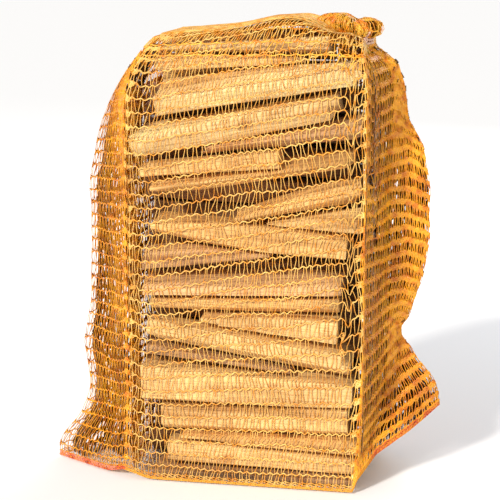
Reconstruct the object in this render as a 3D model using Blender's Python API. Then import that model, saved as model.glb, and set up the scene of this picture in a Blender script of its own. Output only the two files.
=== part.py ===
"""A bundle of split kindling in a tied net sack, standing upright.

Sizes below are real millimetres and become metres when a mesh is made. X runs
along the sticks, the front of the sack faces -Y, Z is up. The origin is the
middle of the flat underside that the sack stands on.
"""

import math
import random
from dataclasses import dataclass

import bmesh
import bpy
from mathutils import Vector

MM = 0.001

# Driving dimensions of the stacked wood
WOOD_DEPTH = 144.0
WOOD_HALF_LENGTH = 107.0
WOOD_FOOT_Z = 3.0
WOOD_TOP_Z = 441.0
COLUMN_DEPTH = WOOD_DEPTH / 3.0
STICK_GAP = 0.5
MIN_CUT = 0.05
MAX_SKEW = 2.0
TOP_SHORTER = 32.0
TOP_THINNER = 9.0
SEED = 41

# Driving dimensions of the sack
SACK_WALL = 1.6
SACK_HALF_DEPTH = 75.5
CORNER_CUT = 6.0
FLAP_HALF_THICKNESS = 14.0
SHOULDER_Z = 424.0
SACK_TOP_Z = 449.5

# The gathered neck, its tie and the ruffle above it
NECK_X = 103.0
NECK_Y = -22.0
NECK_RADIUS = 10.0
NECK_TOP_Z = 437.0
NECK_LEDGE = 4.0
NECK_SLOPE_REACH = 18.0
RUFFLE_TOP_Z = 457.0
RUFFLE_RADIUS = 23.0
RUFFLE_LOBES = 7
RUFFLE_LOBE_DEPTH = 4.0
TIE_RADIUS = 1.3
TIE_TURNS = 2
TIE_PITCH = 3.0
TIE_TURN_STEPS = 18
TIE_Z = 431.5
TIE_CLEARANCE = 0.5
TIE_TAIL = 10.0
KNOT_RADIUS = 4.2
KNOT_ANGLE = math.radians(-70.0)

# The overlocked seam along the bottom hem
SEAM_RADIUS = 1.3
SEAM_Z = 3.2
SEAM_STEPS = 2
SEAM_CLEARANCE = 1.6
# Heights at which the hem climbs the lifted right ear, and its way off the ear's edge
EAR_HEM_HEIGHTS = (10, 18, 32, 48, 62)
EAR_HEM_OUTWARD = Vector((0.8, 0.0, -0.6))

# Outline of the sack: height, then X and Y of the wing's outer edge there
LEFT_EDGE = (
    (0, -199, -27), (18, -193, -24), (32, -184, -14), (54, -180, -6),
    (120, -179, 0), (165, -171, 0), (226, -170, 0), (293, -168, 0),
    (319, -161, 0), (349, -150, 0), (394, -128, 0), (424, -106, 0),
)
RIGHT_EDGE = (
    (0, 124, -52), (18, 136, -30), (44, 160, -6), (64, 188, 10), (84, 180, 4),
    (110, 162, 0), (132, 156, 0), (141, 145, 0), (151, 144, 0), (160, 152, 0),
    (202, 162, 0), (287, 171, 0), (330, 161, 0), (356, 146, 0), (388, 144, 0),
    (410, 138, 0), (424, 119, 0),
)
# Height, then X of the sack's left and right corners, which wrap the wood
CORNERS = ((0, -118, 122), (380, -118, 122), (398, -112, 122), (424, -99, 115))
RING_HEIGHTS = (
    0, 5, 18, 32, 48, 64, 82, 100, 116, 131, 142, 152, 163, 190, 220, 250,
    285, 315, 340, 356, 375, 395, 411, 424,
)
# How far the outer rings of the top have come from the shoulder to the neck,
# and how far from the neck's middle the inner rings lie
TOP_STEPS = (0.05, 0.15, 0.5)
TOP_EDGE_SHARE = 0.08
LEAST_STEP = 0.1
NECK_RING_RADII = (34, 25, 19, 14, 10)
# How many steps each side of the sack's section is divided into, from the left
# edge round the front, and how many of the sides lie before the right edge
SIDE_STEPS = (3, 3, 1, 6, 1, 4, 2, 2, 3, 1, 6, 1, 2, 3)
SIDES_TO_RIGHT_EDGE = 7


@dataclass(frozen=True)
class StickEnd:
    """One sawn end of a stick: its place along X and its height range in front."""

    x: float
    low: float
    high: float


@dataclass(frozen=True)
class Stick:
    """One split stick, wider or narrower at either end, and how its faces lean."""

    name: str
    left: StickEnd
    right: StickEnd
    front_y: float
    back_y: float
    lean_low: float = 0.0
    lean_high: float = 0.0
    yaw: float = 0.0
    skew: float = 0.0
    splits: tuple = ()

    def share(self, x: float) -> float:
        """How far along the stick a place is, 0 at its left end and 1 at its right."""
        return (x - self.left.x) / (self.right.x - self.left.x)

    def low_at(self, x: float) -> float:
        """Height of the front lower edge."""
        return self.left.low + (self.right.low - self.left.low) * self.share(x)

    def high_at(self, x: float) -> float:
        """Height of the front upper edge."""
        return self.left.high + (self.right.high - self.left.high) * self.share(x)

    def centre_at(self, x: float) -> Vector:
        """Middle of the stick's section."""
        lean = (self.lean_low + self.lean_high) / 4.0
        height = (self.low_at(x) + self.high_at(x)) / 2.0 + lean
        return Vector((x, (self.front_y + self.back_y) / 2.0, height))

    def half_size(self, normal: Vector, x: float) -> float:
        """Half of the stick's width across a direction in its section."""
        half_height = (self.high_at(x) - self.low_at(x)) / 2.0
        half_depth = (self.back_y - self.front_y) / 2.0
        return abs(normal.z) * half_height + abs(normal.y) * half_depth


# Sticks of the front column from the top down, as they show through the net:
# left end (X, low, high), right end (X, low, high), recess, lean of the top
FRONT_STICKS = (
    ((-84, 421, 427), (79, 416, 437), 8, 2),
    ((-85, 403, 420), (54, 408, 416), 5, 2),
    ((-85, 360, 397), (110, 393, 421), 3, -8),
    ((-110, 317, 344), (88, 360, 382), 1, 6),
    ((-42, 323, 332), (113, 340, 362), 4, 3),
    ((-100, 303, 316), (34, 314, 330), 2, 2),
    ((-91, 279, 297), (103, 315, 327), 1, 5),
    ((-8, 262, 266), (112, 281, 308), 3, 4),
    ((22, 258, 261), (113, 250, 277), 9, 2),
    ((-89, 247, 278), (99, 212, 245), 0.5, 8),
    ((-100, 211, 237), (26, 228, 232), 6, 4),
    ((-100, 186, 202), (93, 192, 210), 3, 3),
    ((-93, 169, 184), (91, 174, 190), 5, 2),
    ((-41, 163, 168), (91, 138, 173), 2, 4),
    ((-96, 144, 164), (103, 112, 136), 1, 5),
    ((-97, 122, 138), (46, 114, 118), 4, 2),
    ((-102, 80, 117), (106, 84, 107), 0.5, 4),
    ((-82, 48, 77), (102, 52, 81), 2, 3),
    ((-63, 44, 47), (113, 32, 49), 3, 2),
    ((-78, 12, 42), (112, 15, 29), 6, 4),
    ((-92, 4, 10), (109, 4, 13), 2, 1),
)


def clear_scene() -> None:
    """Remove whatever the new file opened with."""
    for item in list(bpy.data.objects):
        bpy.data.objects.remove(item, do_unlink=True)


def make_material(name: str, colour: tuple, roughness: float) -> bpy.types.Material:
    """A plain material with one colour."""
    material = bpy.data.materials.new(name)
    material.use_nodes = True
    shader = material.node_tree.nodes["Principled BSDF"]
    shader.inputs["Base Color"].default_value = (*colour, 1.0)
    shader.inputs["Roughness"].default_value = roughness
    shader.inputs["Metallic"].default_value = 0.0
    return material


def add_object(name: str, mesh: bpy.types.Mesh, material: bpy.types.Material) -> bpy.types.Object:
    """Put a finished mesh in the scene under its own name."""
    mesh.materials.append(material)
    item = bpy.data.objects.new(name, mesh)
    bpy.context.collection.objects.link(item)
    return item


def mesh_from(solid: bmesh.types.BMesh, name: str) -> bpy.types.Mesh:
    """Scale a millimetre solid to metres and store it as a mesh."""
    bmesh.ops.scale(solid, vec=(MM, MM, MM), verts=solid.verts)
    mesh = bpy.data.meshes.new(name)
    solid.to_mesh(mesh)
    solid.free()
    return mesh


def smoothstep(value: float) -> float:
    """Ease from 0 to 1, flat at both ends."""
    clamped = min(max(value, 0.0), 1.0)
    return clamped * clamped * (3.0 - 2.0 * clamped)


def read_profile(profile: tuple, z: float) -> tuple:
    """Read a hand-set outline at a height, straight between its points."""
    for (z_low, *low), (z_high, *high) in zip(profile, profile[1:]):
        if z <= z_high:
            share = max(z - z_low, 0.0) / (z_high - z_low)
            return tuple(a + (b - a) * share for a, b in zip(low, high))
    return profile[-1][1:]


def front_column(chance: random.Random) -> list:
    """The sticks that show through the front of the net, in their seen places."""
    column = []
    for index, (left, right, recess, lean) in enumerate(FRONT_STICKS):
        column.append(Stick(
            name=f"stick_front_{index + 1:02d}",
            left=StickEnd(*left),
            right=StickEnd(*right),
            front_y=-WOOD_DEPTH / 2.0 + recess,
            back_y=-COLUMN_DEPTH / 2.0 + chance.uniform(-9.0, 6.0),
            lean_low=chance.uniform(-3.0, 5.0),
            lean_high=lean,
            yaw=chance.uniform(-1.0, 3.0),
            skew=chance.uniform(-MAX_SKEW, MAX_SKEW),
            splits=pick_splits(chance),
        ))
    return column


def stacked_column(name: str, middle_y: float, chance: random.Random) -> list:
    """A column of sticks behind the front one, stacked from the floor up."""
    column = []
    left_z = WOOD_FOOT_Z
    right_z = WOOD_FOOT_Z
    while min(left_z, right_z) < WOOD_TOP_Z - 18.0:
        level = (left_z - right_z) / 2.0
        left_height = min(max(chance.uniform(17.0, 35.0) - level, 9.0), 42.0)
        right_height = min(max(chance.uniform(17.0, 35.0) + level, 9.0), 42.0)
        void = chance.uniform(0.5, 4.0)
        top = max(left_z + left_height, right_z + right_height)
        narrow = smoothstep((top - 395.0) / 35.0)
        left_x = -WOOD_HALF_LENGTH + chance.uniform(-2.0, 9.0) + TOP_SHORTER * narrow
        right_x = WOOD_HALF_LENGTH + chance.uniform(-9.0, 5.0) - TOP_SHORTER * narrow
        rear_limit = WOOD_DEPTH / 2.0 - chance.uniform(0.5, 6.0) - TOP_THINNER * narrow
        column.append(Stick(
            name=f"{name}_{len(column) + 1:02d}",
            left=StickEnd(left_x, left_z, min(left_z + left_height, WOOD_TOP_Z)),
            right=StickEnd(right_x, right_z, min(right_z + right_height, WOOD_TOP_Z)),
            front_y=middle_y - COLUMN_DEPTH / 2.0 + chance.uniform(-7.0, 5.0),
            back_y=min(middle_y + COLUMN_DEPTH / 2.0 + chance.uniform(-8.0, 6.0), rear_limit),
            lean_low=chance.uniform(-4.0, 4.0) if column else 0.0,
            lean_high=chance.uniform(-5.0, 5.0) if top < WOOD_TOP_Z - 6.0 else 0.0,
            yaw=chance.uniform(-2.0, 2.0),
            skew=chance.uniform(-MAX_SKEW, MAX_SKEW),
            splits=pick_splits(chance),
        ))
        left_z += left_height + void
        right_z += right_height + void
    return column


def pick_splits(chance: random.Random) -> tuple:
    """Which long edges of a stick split away: front or back, low or high, how deep."""
    corners = [(-1, -1), (-1, 1), (1, -1), (1, 1)]
    chosen = chance.sample(corners, 2)
    return tuple(
        (side, level, chance.uniform(0.08, 0.4), chance.uniform(0.15, 0.6))
        for side, level in chosen
    )


def tapered_block(stick: Stick) -> bmesh.types.BMesh:
    """The stick before it is split and fitted: six flat faces, sawn ends."""
    solid = bmesh.new()
    bmesh.ops.create_cube(solid, size=2.0)
    for vert in solid.verts:
        end = stick.left if vert.co.x < 0.0 else stick.right
        behind = vert.co.y > 0.0
        x = end.x + (stick.skew if behind else 0.0)
        y = stick.back_y if behind else stick.front_y
        if not behind and vert.co.x > 0.0:
            y += max(stick.yaw, 0.0)
        elif not behind:
            y += max(-stick.yaw, 0.0)
        depth = (y - stick.front_y) / (stick.back_y - stick.front_y)
        if vert.co.z > 0.0:
            z = stick.high_at(x) + stick.lean_high * depth
        else:
            z = stick.low_at(x) + stick.lean_low * depth
        vert.co = (x, y, max(z, WOOD_FOOT_Z))
    return solid


def cut_away(solid: bmesh.types.BMesh, point: Vector, normal: Vector) -> None:
    """Slice off what lies beyond a plane and close the cut with a flat face."""
    if all((vert.co - point).dot(normal) < MIN_CUT for vert in solid.verts):
        return
    cut = bmesh.ops.bisect_plane(
        solid,
        geom=list(solid.verts) + list(solid.edges) + list(solid.faces),
        dist=1e-4,
        plane_co=point,
        plane_no=normal,
        clear_outer=True,
    )
    rim = [item for item in cut["geom_cut"] if isinstance(item, bmesh.types.BMEdge)]
    bmesh.ops.edgeloop_fill(solid, edges=rim)


def split_edges(solid: bmesh.types.BMesh, stick: Stick) -> None:
    """Take long wedges off the chosen edges, as the axe leaves them."""
    middle_x = (stick.left.x + stick.right.x) / 2.0
    axis = stick.centre_at(stick.right.x) - stick.centre_at(stick.left.x)
    for side, level, depth_share, height_share in stick.splits:
        half_height = (stick.high_at(middle_x) - stick.low_at(middle_x)) / 2.0
        half_depth = (stick.back_y - stick.front_y) / 2.0
        down = 2.0 * half_height * height_share
        inward = 2.0 * half_depth * depth_share
        corner = stick.centre_at(middle_x) + Vector((0, side * half_depth, level * half_height))
        middle = corner - Vector((0, side * inward / 2.0, level * down / 2.0))
        normal = Vector((0.0, side * down, level * inward))
        normal -= axis * (normal.dot(axis) / axis.length_squared)
        cut_away(solid, middle, normal.normalized())


def shared_plane(one: Stick, other: Stick) -> tuple:
    """The plane between two neighbours: a point on it, and its normal towards the other."""
    start = max(one.left.x, other.left.x)
    stop = min(one.right.x, other.right.x)
    middle = (start + stop) / 2.0
    between = other.centre_at(middle) - one.centre_at(middle)
    between.x = 0.0
    normal = between.normalized()
    one_half = one.half_size(normal, middle)
    other_half = other.half_size(normal, middle)
    share = one_half / (one_half + other_half)
    point = one.centre_at(middle) + between * share
    axis = (
        one.centre_at(stop) - one.centre_at(start)
        + other.centre_at(stop) - other.centre_at(start)
    )
    normal -= axis * (normal.dot(axis) / axis.length_squared)
    return point, normal.normalized()


def fit_between(solid: bmesh.types.BMesh, stick: Stick, sticks: list) -> None:
    """Trim a stick where it would run into its neighbours."""
    for other in sticks:
        apart = (
            other is stick
            or other.left.x > stick.right.x + 2.0 * abs(other.skew) + 1.0
            or stick.left.x > other.right.x + 2.0 * abs(stick.skew) + 1.0
        )
        if not apart:
            point, normal = shared_plane(stick, other)
            cut_away(solid, point - normal * (STICK_GAP / 2.0), normal)


def add_sticks() -> None:
    """Build every stick of the three columns."""
    chance = random.Random(SEED)
    sticks = front_column(chance)
    sticks += stacked_column("stick_middle", 0.0, chance)
    sticks += stacked_column("stick_back", COLUMN_DEPTH, chance)
    for index, stick in enumerate(sticks):
        solid = tapered_block(stick)
        split_edges(solid, stick)
        fit_between(solid, stick, sticks)
        bmesh.ops.remove_doubles(solid, verts=solid.verts, dist=0.05)
        bmesh.ops.recalc_face_normals(solid, faces=solid.faces)
        tone = 0.92 + 0.08 * math.sin(index * 2.4)
        colour = (0.79 * tone, 0.56 * tone, 0.33 * tone)
        material = make_material(f"{stick.name}_wood", colour, 0.8)
        add_object(stick.name, mesh_from(solid, stick.name), material)


def sack_controls(z: float) -> list:
    """Corners of the sack's section at a height, from the left edge round the front."""
    left_x, left_y = read_profile(LEFT_EDGE, z)
    right_x, right_y = read_profile(RIGHT_EDGE, z)
    corner_left, corner_right = read_profile(CORNERS, z)
    front = -SACK_HALF_DEPTH
    back = SACK_HALF_DEPTH
    root_x = min(corner_right + 2.5, right_x - 1.5)
    fold_x = (left_x + corner_left) / 2.0
    fold_front = (left_y + front + CORNER_CUT) / 2.0
    fold_back = (left_y + back - CORNER_CUT) / 2.0
    return [
        (left_x, left_y),
        (fold_x + 3.0, fold_front + 2.0),
        (corner_left, front + CORNER_CUT),
        (corner_left + CORNER_CUT, front),
        (corner_right - CORNER_CUT, front),
        (corner_right, front + CORNER_CUT),
        (root_x, right_y - FLAP_HALF_THICKNESS),
        (right_x, right_y),
        (root_x, right_y + FLAP_HALF_THICKNESS),
        (corner_right, back - CORNER_CUT),
        (corner_right - CORNER_CUT, back),
        (corner_left + CORNER_CUT, back),
        (corner_left, back - CORNER_CUT),
        (fold_x + 3.0, fold_back - 2.0),
    ]


def sack_section(z: float) -> list:
    """All points of the sack's section at a height, as plan positions."""
    controls = sack_controls(z)
    points = []
    for index, steps in enumerate(SIDE_STEPS):
        start = Vector(controls[index])
        stop = Vector(controls[(index + 1) % len(controls)])
        points += [start.lerp(stop, step / steps) for step in range(steps)]
    return points


def neck_directions() -> list:
    """Directions in plan from the neck's middle towards each point of the shoulder."""
    centre = Vector((NECK_X, NECK_Y))
    return [(point - centre).normalized() for point in sack_section(SHOULDER_Z)]


def top_rings() -> list:
    """The rings of the top between the shoulder and the neck, draped over the wood."""
    shoulder = sack_section(SHOULDER_Z)
    directions = neck_directions()
    centre = Vector((NECK_X, NECK_Y))
    reached = [0.0] * len(shoulder)
    rings = []
    for stage in (*TOP_STEPS, *NECK_RING_RADII):
        ring = []
        for index, outer in enumerate(shoulder):
            span = (outer - centre).length - NECK_RADIUS
            share = stage if stage < 1.0 else 1.0 - (stage - NECK_RADIUS) / span
            reached[index] = max(share, reached[index] + LEAST_STEP * (1.0 - reached[index]))
            place = outer.lerp(centre + NECK_RADIUS * directions[index], reached[index])
            gap = (place - centre).length - NECK_RADIUS - NECK_LEDGE
            rise = (SACK_TOP_Z - SHOULDER_Z) * smoothstep(gap / NECK_SLOPE_REACH)
            edge = smoothstep(reached[index] / TOP_EDGE_SHARE)
            ring.append(Vector((place.x, place.y, SHOULDER_Z + rise * edge)))
        rings.append(ring)
    return rings


def ruffle_ring(z: float) -> list:
    """A ring of the neck or of the fluted ruffle above it."""
    share = max(z - NECK_TOP_Z, 0.0) / (RUFFLE_TOP_Z - NECK_TOP_Z)
    flare = (RUFFLE_RADIUS - NECK_RADIUS) * math.sin(share * math.pi / 2.0)
    ring = []
    for direction in neck_directions():
        angle = math.atan2(direction.y, direction.x)
        flute = RUFFLE_LOBE_DEPTH * share * math.cos(RUFFLE_LOBES * angle)
        place = Vector((NECK_X, NECK_Y)) + (NECK_RADIUS + flare + flute) * direction
        ring.append(Vector((place.x, place.y, z)))
    return ring


def add_sack() -> None:
    """The sack as a thin skin: flat base, walls, top, neck and open ruffle."""
    rings = [
        [Vector((point.x, point.y, z)) for point in sack_section(z)]
        for z in RING_HEIGHTS
    ]
    rings += top_rings()
    ruffle_mid = (NECK_TOP_Z + RUFFLE_TOP_Z) / 2.0
    rings += [ruffle_ring(z) for z in (NECK_TOP_Z, ruffle_mid, RUFFLE_TOP_Z)]
    skin = bmesh.new()
    loops = [[skin.verts.new(point) for point in ring] for ring in rings]
    skin.faces.new(reversed(loops[0]))
    for below, above in zip(loops, loops[1:]):
        for index in range(len(below)):
            after = (index + 1) % len(below)
            skin.faces.new((below[index], below[after], above[after], above[index]))
    mesh = mesh_from(skin, "net_sack")
    mesh.shade_smooth()
    mesh.set_sharp_from_angle(angle=math.radians(50.0))
    sack = add_object("net_sack", mesh, make_material("net_plastic", (0.9, 0.43, 0.03), 0.45))
    wall = sack.modifiers.new("wall", "SOLIDIFY")
    wall.thickness = SACK_WALL * MM
    wall.offset = -1.0


def outward_at(points: list, index: int) -> Vector:
    """Direction in plan that points away from the sack at one of its points."""
    before = points[index - 1]
    after = points[(index + 1) % len(points)]
    along = (after - before).normalized()
    return Vector((along.y, -along.x, 0.0))


def seam_route() -> list:
    """The hem: left ear, front bottom edge, then up along the lifted right ear."""
    away = SEAM_RADIUS + SEAM_CLEARANCE
    section = sack_section(SEAM_Z)
    last = sum(SIDE_STEPS[:SIDES_TO_RIGHT_EDGE])
    route = []
    for index in range(last):
        point = Vector((*section[index], SEAM_Z))
        route.append(point + away * outward_at(section, index))
    for z in EAR_HEM_HEIGHTS:
        edge = Vector((*read_profile(RIGHT_EDGE, z), z))
        route.append(edge + away * EAR_HEM_OUTWARD)
    return route


def smooth_route(points: list, steps: int) -> list:
    """Read a smooth curve through the route's own points."""
    padded = [2 * points[0] - points[1], *points, 2 * points[-1] - points[-2]]
    curve = []
    for before, start, stop, after in zip(padded, padded[1:], padded[2:], padded[3:]):
        for step in range(steps):
            t = step / steps
            curve.append(0.5 * (
                2 * start + (stop - before) * t
                + (2 * before - 5 * start + 4 * stop - after) * t * t
                + (3 * start - before - 3 * stop + after) * t * t * t
            ))
    curve.append(points[-1])
    return curve


def add_tube(name: str, route: list, radius: float, material: bpy.types.Material) -> bpy.types.Object:
    """A round cord along a route, with closed ends."""
    curve = bpy.data.curves.new(name, "CURVE")
    curve.dimensions = "3D"
    curve.bevel_depth = radius * MM
    curve.bevel_resolution = 2
    curve.use_fill_caps = True
    spline = curve.splines.new("POLY")
    spline.points.add(len(route) - 1)
    for target, place in zip(spline.points, route):
        target.co = (*(place * MM), 1.0)
    curve.materials.append(material)
    item = bpy.data.objects.new(name, curve)
    bpy.context.collection.objects.link(item)
    return item


def add_seam() -> None:
    """The coloured overlock stitching that closes the bottom of the sack."""
    material = make_material("seam_thread", (0.85, 0.13, 0.10), 0.5)
    add_tube("seam_stitching", smooth_route(seam_route(), SEAM_STEPS), SEAM_RADIUS, material)


def tie_route() -> list:
    """The tie: a short tail, its turns round the neck, and the other tail."""
    wrap_radius = NECK_RADIUS + TIE_CLEARANCE + TIE_RADIUS
    start_z = TIE_Z - TIE_TURNS * TIE_PITCH / 2.0
    steps = TIE_TURN_STEPS * TIE_TURNS
    turns = []
    for step in range(steps + 1):
        angle = KNOT_ANGLE + 2.0 * math.pi * TIE_TURNS * step / steps
        turns.append(Vector((
            NECK_X + wrap_radius * math.cos(angle),
            NECK_Y + wrap_radius * math.sin(angle),
            start_z + TIE_PITCH * TIE_TURNS * step / steps,
        )))
    outward = Vector((math.cos(KNOT_ANGLE), math.sin(KNOT_ANGLE), 0.0))
    sideways = Vector((-outward.y, outward.x, 0.0))
    upward = Vector((0.0, 0.0, 0.5))
    low_tail = turns[0] + TIE_TAIL * (0.7 * outward - 0.5 * sideways + upward)
    high_tail = turns[-1] + TIE_TAIL * (0.7 * outward + 0.5 * sideways + upward)
    return [low_tail, turns[0].lerp(low_tail, 0.5), *turns, turns[-1].lerp(high_tail, 0.5), high_tail]


def add_tie() -> None:
    """The cord tied round the neck, with its knot."""
    material = make_material("tie_cord_fibre", (0.82, 0.66, 0.60), 0.7)
    route = tie_route()
    tie = add_tube("tie_cord", route, TIE_RADIUS, material)
    knot_solid = bmesh.new()
    bmesh.ops.create_icosphere(knot_solid, subdivisions=2, radius=KNOT_RADIUS)
    reach = NECK_RADIUS + TIE_CLEARANCE + KNOT_RADIUS
    centre = Vector((NECK_X, NECK_Y, TIE_Z))
    centre += reach * Vector((math.cos(KNOT_ANGLE), math.sin(KNOT_ANGLE), 0.0))
    bmesh.ops.translate(knot_solid, vec=centre, verts=knot_solid.verts)
    knot = bpy.data.objects.new("knot_form", mesh_from(knot_solid, "knot_form"))
    bpy.context.collection.objects.link(knot)
    knot.hide_render = True
    knot.display_type = "WIRE"
    graph = bpy.context.evaluated_depsgraph_get()
    cord_mesh = bpy.data.meshes.new_from_object(tie.evaluated_get(graph))
    bpy.data.objects.remove(tie, do_unlink=True)
    cord = bpy.data.objects.new("tie_cord", cord_mesh)
    bpy.context.collection.objects.link(cord)
    union = cord.modifiers.new("knot", "BOOLEAN")
    union.operation = "UNION"
    union.solver = "EXACT"
    union.object = knot


def main() -> None:
    """Build the whole bundle."""
    clear_scene()
    add_sticks()
    add_sack()
    add_seam()
    add_tie()


main()
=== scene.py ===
"""Looks of a tied net sack of split kindling: wood, knitted net, hem stitching and tie.

All sizes are metres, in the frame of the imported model: X along the sticks, the
front faces -Y, Z up, and the sack stands on Z = 0.
"""

import logging
import math
from dataclasses import dataclass, field
from enum import Enum

import bmesh
import bpy
import numpy as np
from mathutils import Matrix, Vector, noise
from mathutils.bvhtree import BVHTree


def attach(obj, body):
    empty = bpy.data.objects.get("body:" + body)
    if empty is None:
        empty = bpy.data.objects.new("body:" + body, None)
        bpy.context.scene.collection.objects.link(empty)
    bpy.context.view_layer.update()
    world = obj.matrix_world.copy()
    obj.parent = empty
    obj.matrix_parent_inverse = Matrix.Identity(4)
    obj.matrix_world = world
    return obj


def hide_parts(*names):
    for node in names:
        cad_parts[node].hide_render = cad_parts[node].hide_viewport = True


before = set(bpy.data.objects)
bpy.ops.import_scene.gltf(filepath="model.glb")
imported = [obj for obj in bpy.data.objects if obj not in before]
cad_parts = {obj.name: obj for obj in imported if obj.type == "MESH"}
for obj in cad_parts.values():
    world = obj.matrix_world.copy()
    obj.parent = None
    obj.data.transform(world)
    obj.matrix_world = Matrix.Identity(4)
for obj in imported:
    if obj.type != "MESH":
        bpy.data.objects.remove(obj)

BODY = "root"
MM = 0.001
WHITE = (1.0, 1.0, 1.0)
log = logging.getLogger("kindling_sack")


def smooth_ramp(value: np.ndarray) -> np.ndarray:
    """Ease from 0 to 1, flat at both ends.

    Args:
        value: Position on the ramp, which is clamped to 0 and 1.

    Returns:
        The eased value.
    """
    clamped = np.clip(value, 0.0, 1.0)
    return clamped * clamped * (3.0 - 2.0 * clamped)


def lattice_noise(x: np.ndarray, y: np.ndarray, seed: int) -> np.ndarray:
    """Smooth noise on a plane, the same each run.

    Args:
        x: First coordinate, one lattice cell per unit.
        y: Second coordinate.
        seed: Picks one of many patterns.

    Returns:
        Values between -1 and 1.
    """
    x_cell = np.floor(x)
    y_cell = np.floor(y)

    def corner(dx: int, dy: int) -> np.ndarray:
        """Random value at one corner of each cell.

        Args:
            dx: 0 for the cell's low side, 1 for its high side.
            dy: The same for the second coordinate.

        Returns:
            Values between -1 and 1.
        """
        wave = np.sin((x_cell + dx) * 127.1 + (y_cell + dy) * 311.7 + seed * 74.7) * 43758.5453
        return 2.0 * (wave - np.floor(wave)) - 1.0

    x_share = smooth_ramp(x - x_cell)
    y_share = smooth_ramp(y - y_cell)
    low = corner(0, 0) * (1.0 - x_share) + corner(1, 0) * x_share
    high = corner(0, 1) * (1.0 - x_share) + corner(1, 1) * x_share
    return low * (1.0 - y_share) + high * y_share


def layered_noise(x: np.ndarray, y: np.ndarray, layers: tuple) -> np.ndarray:
    """Add up layers of smooth noise.

    Args:
        x: First coordinate.
        y: Second coordinate.
        layers: Each layer's size, its waves per unit of x and of y, and its seed.

    Returns:
        The sum.
    """
    return sum(
        size * lattice_noise(x * x_waves, y * y_waves, seed) for size, x_waves, y_waves, seed in layers
    )


def evenly_along(route: tuple, count: int) -> tuple:
    """Space places evenly by length along a given route.

    Args:
        route: Its points, each with as many coordinates as the others.
        count: How many places, with both ends.

    Returns:
        Each place's length from the start, and a list with one array for each coordinate.
    """
    runs = [0.0] + [math.dist(one, other) for one, other in zip(route, route[1:])]
    mark = np.linspace(0.0, sum(runs), count)
    return mark, [np.interp(mark, np.cumsum(runs), values) for values in zip(*route)]


def link_piece(name: str, mesh: bpy.types.Mesh) -> bpy.types.Object:
    """Put a finished mesh in the scene as a piece of the sack.

    Args:
        name: The piece's name.
        mesh: Its mesh, already in place.

    Returns:
        The new object, riding on the part's body.
    """
    piece = bpy.data.objects.new(name, mesh)
    bpy.context.scene.collection.objects.link(piece)
    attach(piece, BODY)
    log.info("%s: %d faces", name, len(mesh.polygons))
    return piece


class NodeBoard:
    """A material's node tree, with short calls to add and join its nodes."""

    def __init__(self, name: str) -> None:
        """Start a material that has one Principled shader.

        Args:
            name: The material's name.
        """
        self.material = bpy.data.materials.new(name)
        self.material.use_nodes = True
        self.tree = self.material.node_tree
        self.shader = self.tree.nodes["Principled BSDF"]

    def add(self, kind: str, **settings: object) -> bpy.types.Node:
        """Add a node and set its properties.

        Args:
            kind: The node's type name without its ShaderNode prefix.
            settings: Properties of the node.

        Returns:
            The node.
        """
        node = self.tree.nodes.new(f"ShaderNode{kind}")
        for key, value in settings.items():
            setattr(node, key, value)
        return node

    def join(self, source: bpy.types.NodeSocket, target: bpy.types.NodeSocket) -> None:
        """Connect two sockets.

        Args:
            source: The output.
            target: The input.
        """
        self.tree.links.new(source, target)

    def stretched(self, source: bpy.types.NodeSocket, scale: tuple) -> bpy.types.NodeSocket:
        """Stretch coordinates by a Mapping node.

        Args:
            source: The coordinates.
            scale: Factor along each axis.

        Returns:
            The stretched coordinates.
        """
        mapping = self.add("Mapping")
        mapping.inputs["Scale"].default_value = scale
        self.join(source, mapping.inputs["Vector"])
        return mapping.outputs["Vector"]

    def cloud(self, place: bpy.types.NodeSocket, scale: float, detail: float = 3.0) -> bpy.types.NodeSocket:
        """Noise texture.

        Args:
            place: Coordinates that it reads.
            scale: Its fineness.
            detail: How many finer layers it has.

        Returns:
            Its value.
        """
        texture = self.add("TexNoise")
        texture.inputs["Scale"].default_value = scale
        texture.inputs["Detail"].default_value = detail
        self.join(place, texture.inputs["Vector"])
        return texture.outputs["Fac"]

    def ramp(self, value: bpy.types.NodeSocket, stops: tuple) -> bpy.types.NodeSocket:
        """Colour ramp.

        Args:
            value: What drives it.
            stops: Pairs of position and colour.

        Returns:
            Its colour.
        """
        node = self.add("ValToRGB")
        elements = node.color_ramp.elements
        while len(elements) < len(stops):
            elements.new(0.5)
        for element, (position, colour) in zip(elements, stops):
            element.position = position
            element.color = (*colour, 1.0)
        self.join(value, node.inputs["Fac"])
        return node.outputs["Color"]

    def multiplied(
        self, share: float, one: bpy.types.NodeSocket, other: bpy.types.NodeSocket,
    ) -> bpy.types.NodeSocket:
        """Multiply two colours.

        Args:
            share: How strongly the other colour acts, the same all over.
            one: The first colour.
            other: The colour that it is multiplied by.

        Returns:
            The product.
        """
        mix = self.add("Mix", data_type="RGBA", blend_type="MULTIPLY")
        mix.inputs["Factor"].default_value = share
        self.join(one, mix.inputs["A"])
        self.join(other, mix.inputs["B"])
        return mix.outputs["Result"]

    def bump(self, height: bpy.types.NodeSocket, distance: float, strength: float) -> None:
        """Raise the surface by a height pattern, on top of an earlier bump.

        Args:
            height: The pattern.
            distance: How high it rises, in metres.
            strength: How strongly it shades.
        """
        node = self.add("Bump")
        node.inputs["Distance"].default_value = distance
        node.inputs["Strength"].default_value = strength
        self.join(height, node.inputs["Height"])
        if self.shader.inputs["Normal"].links:
            earlier = self.shader.inputs["Normal"].links[0].from_socket
            self.join(earlier, node.inputs["Normal"])
        self.join(node.outputs["Normal"], self.shader.inputs["Normal"])


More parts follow.
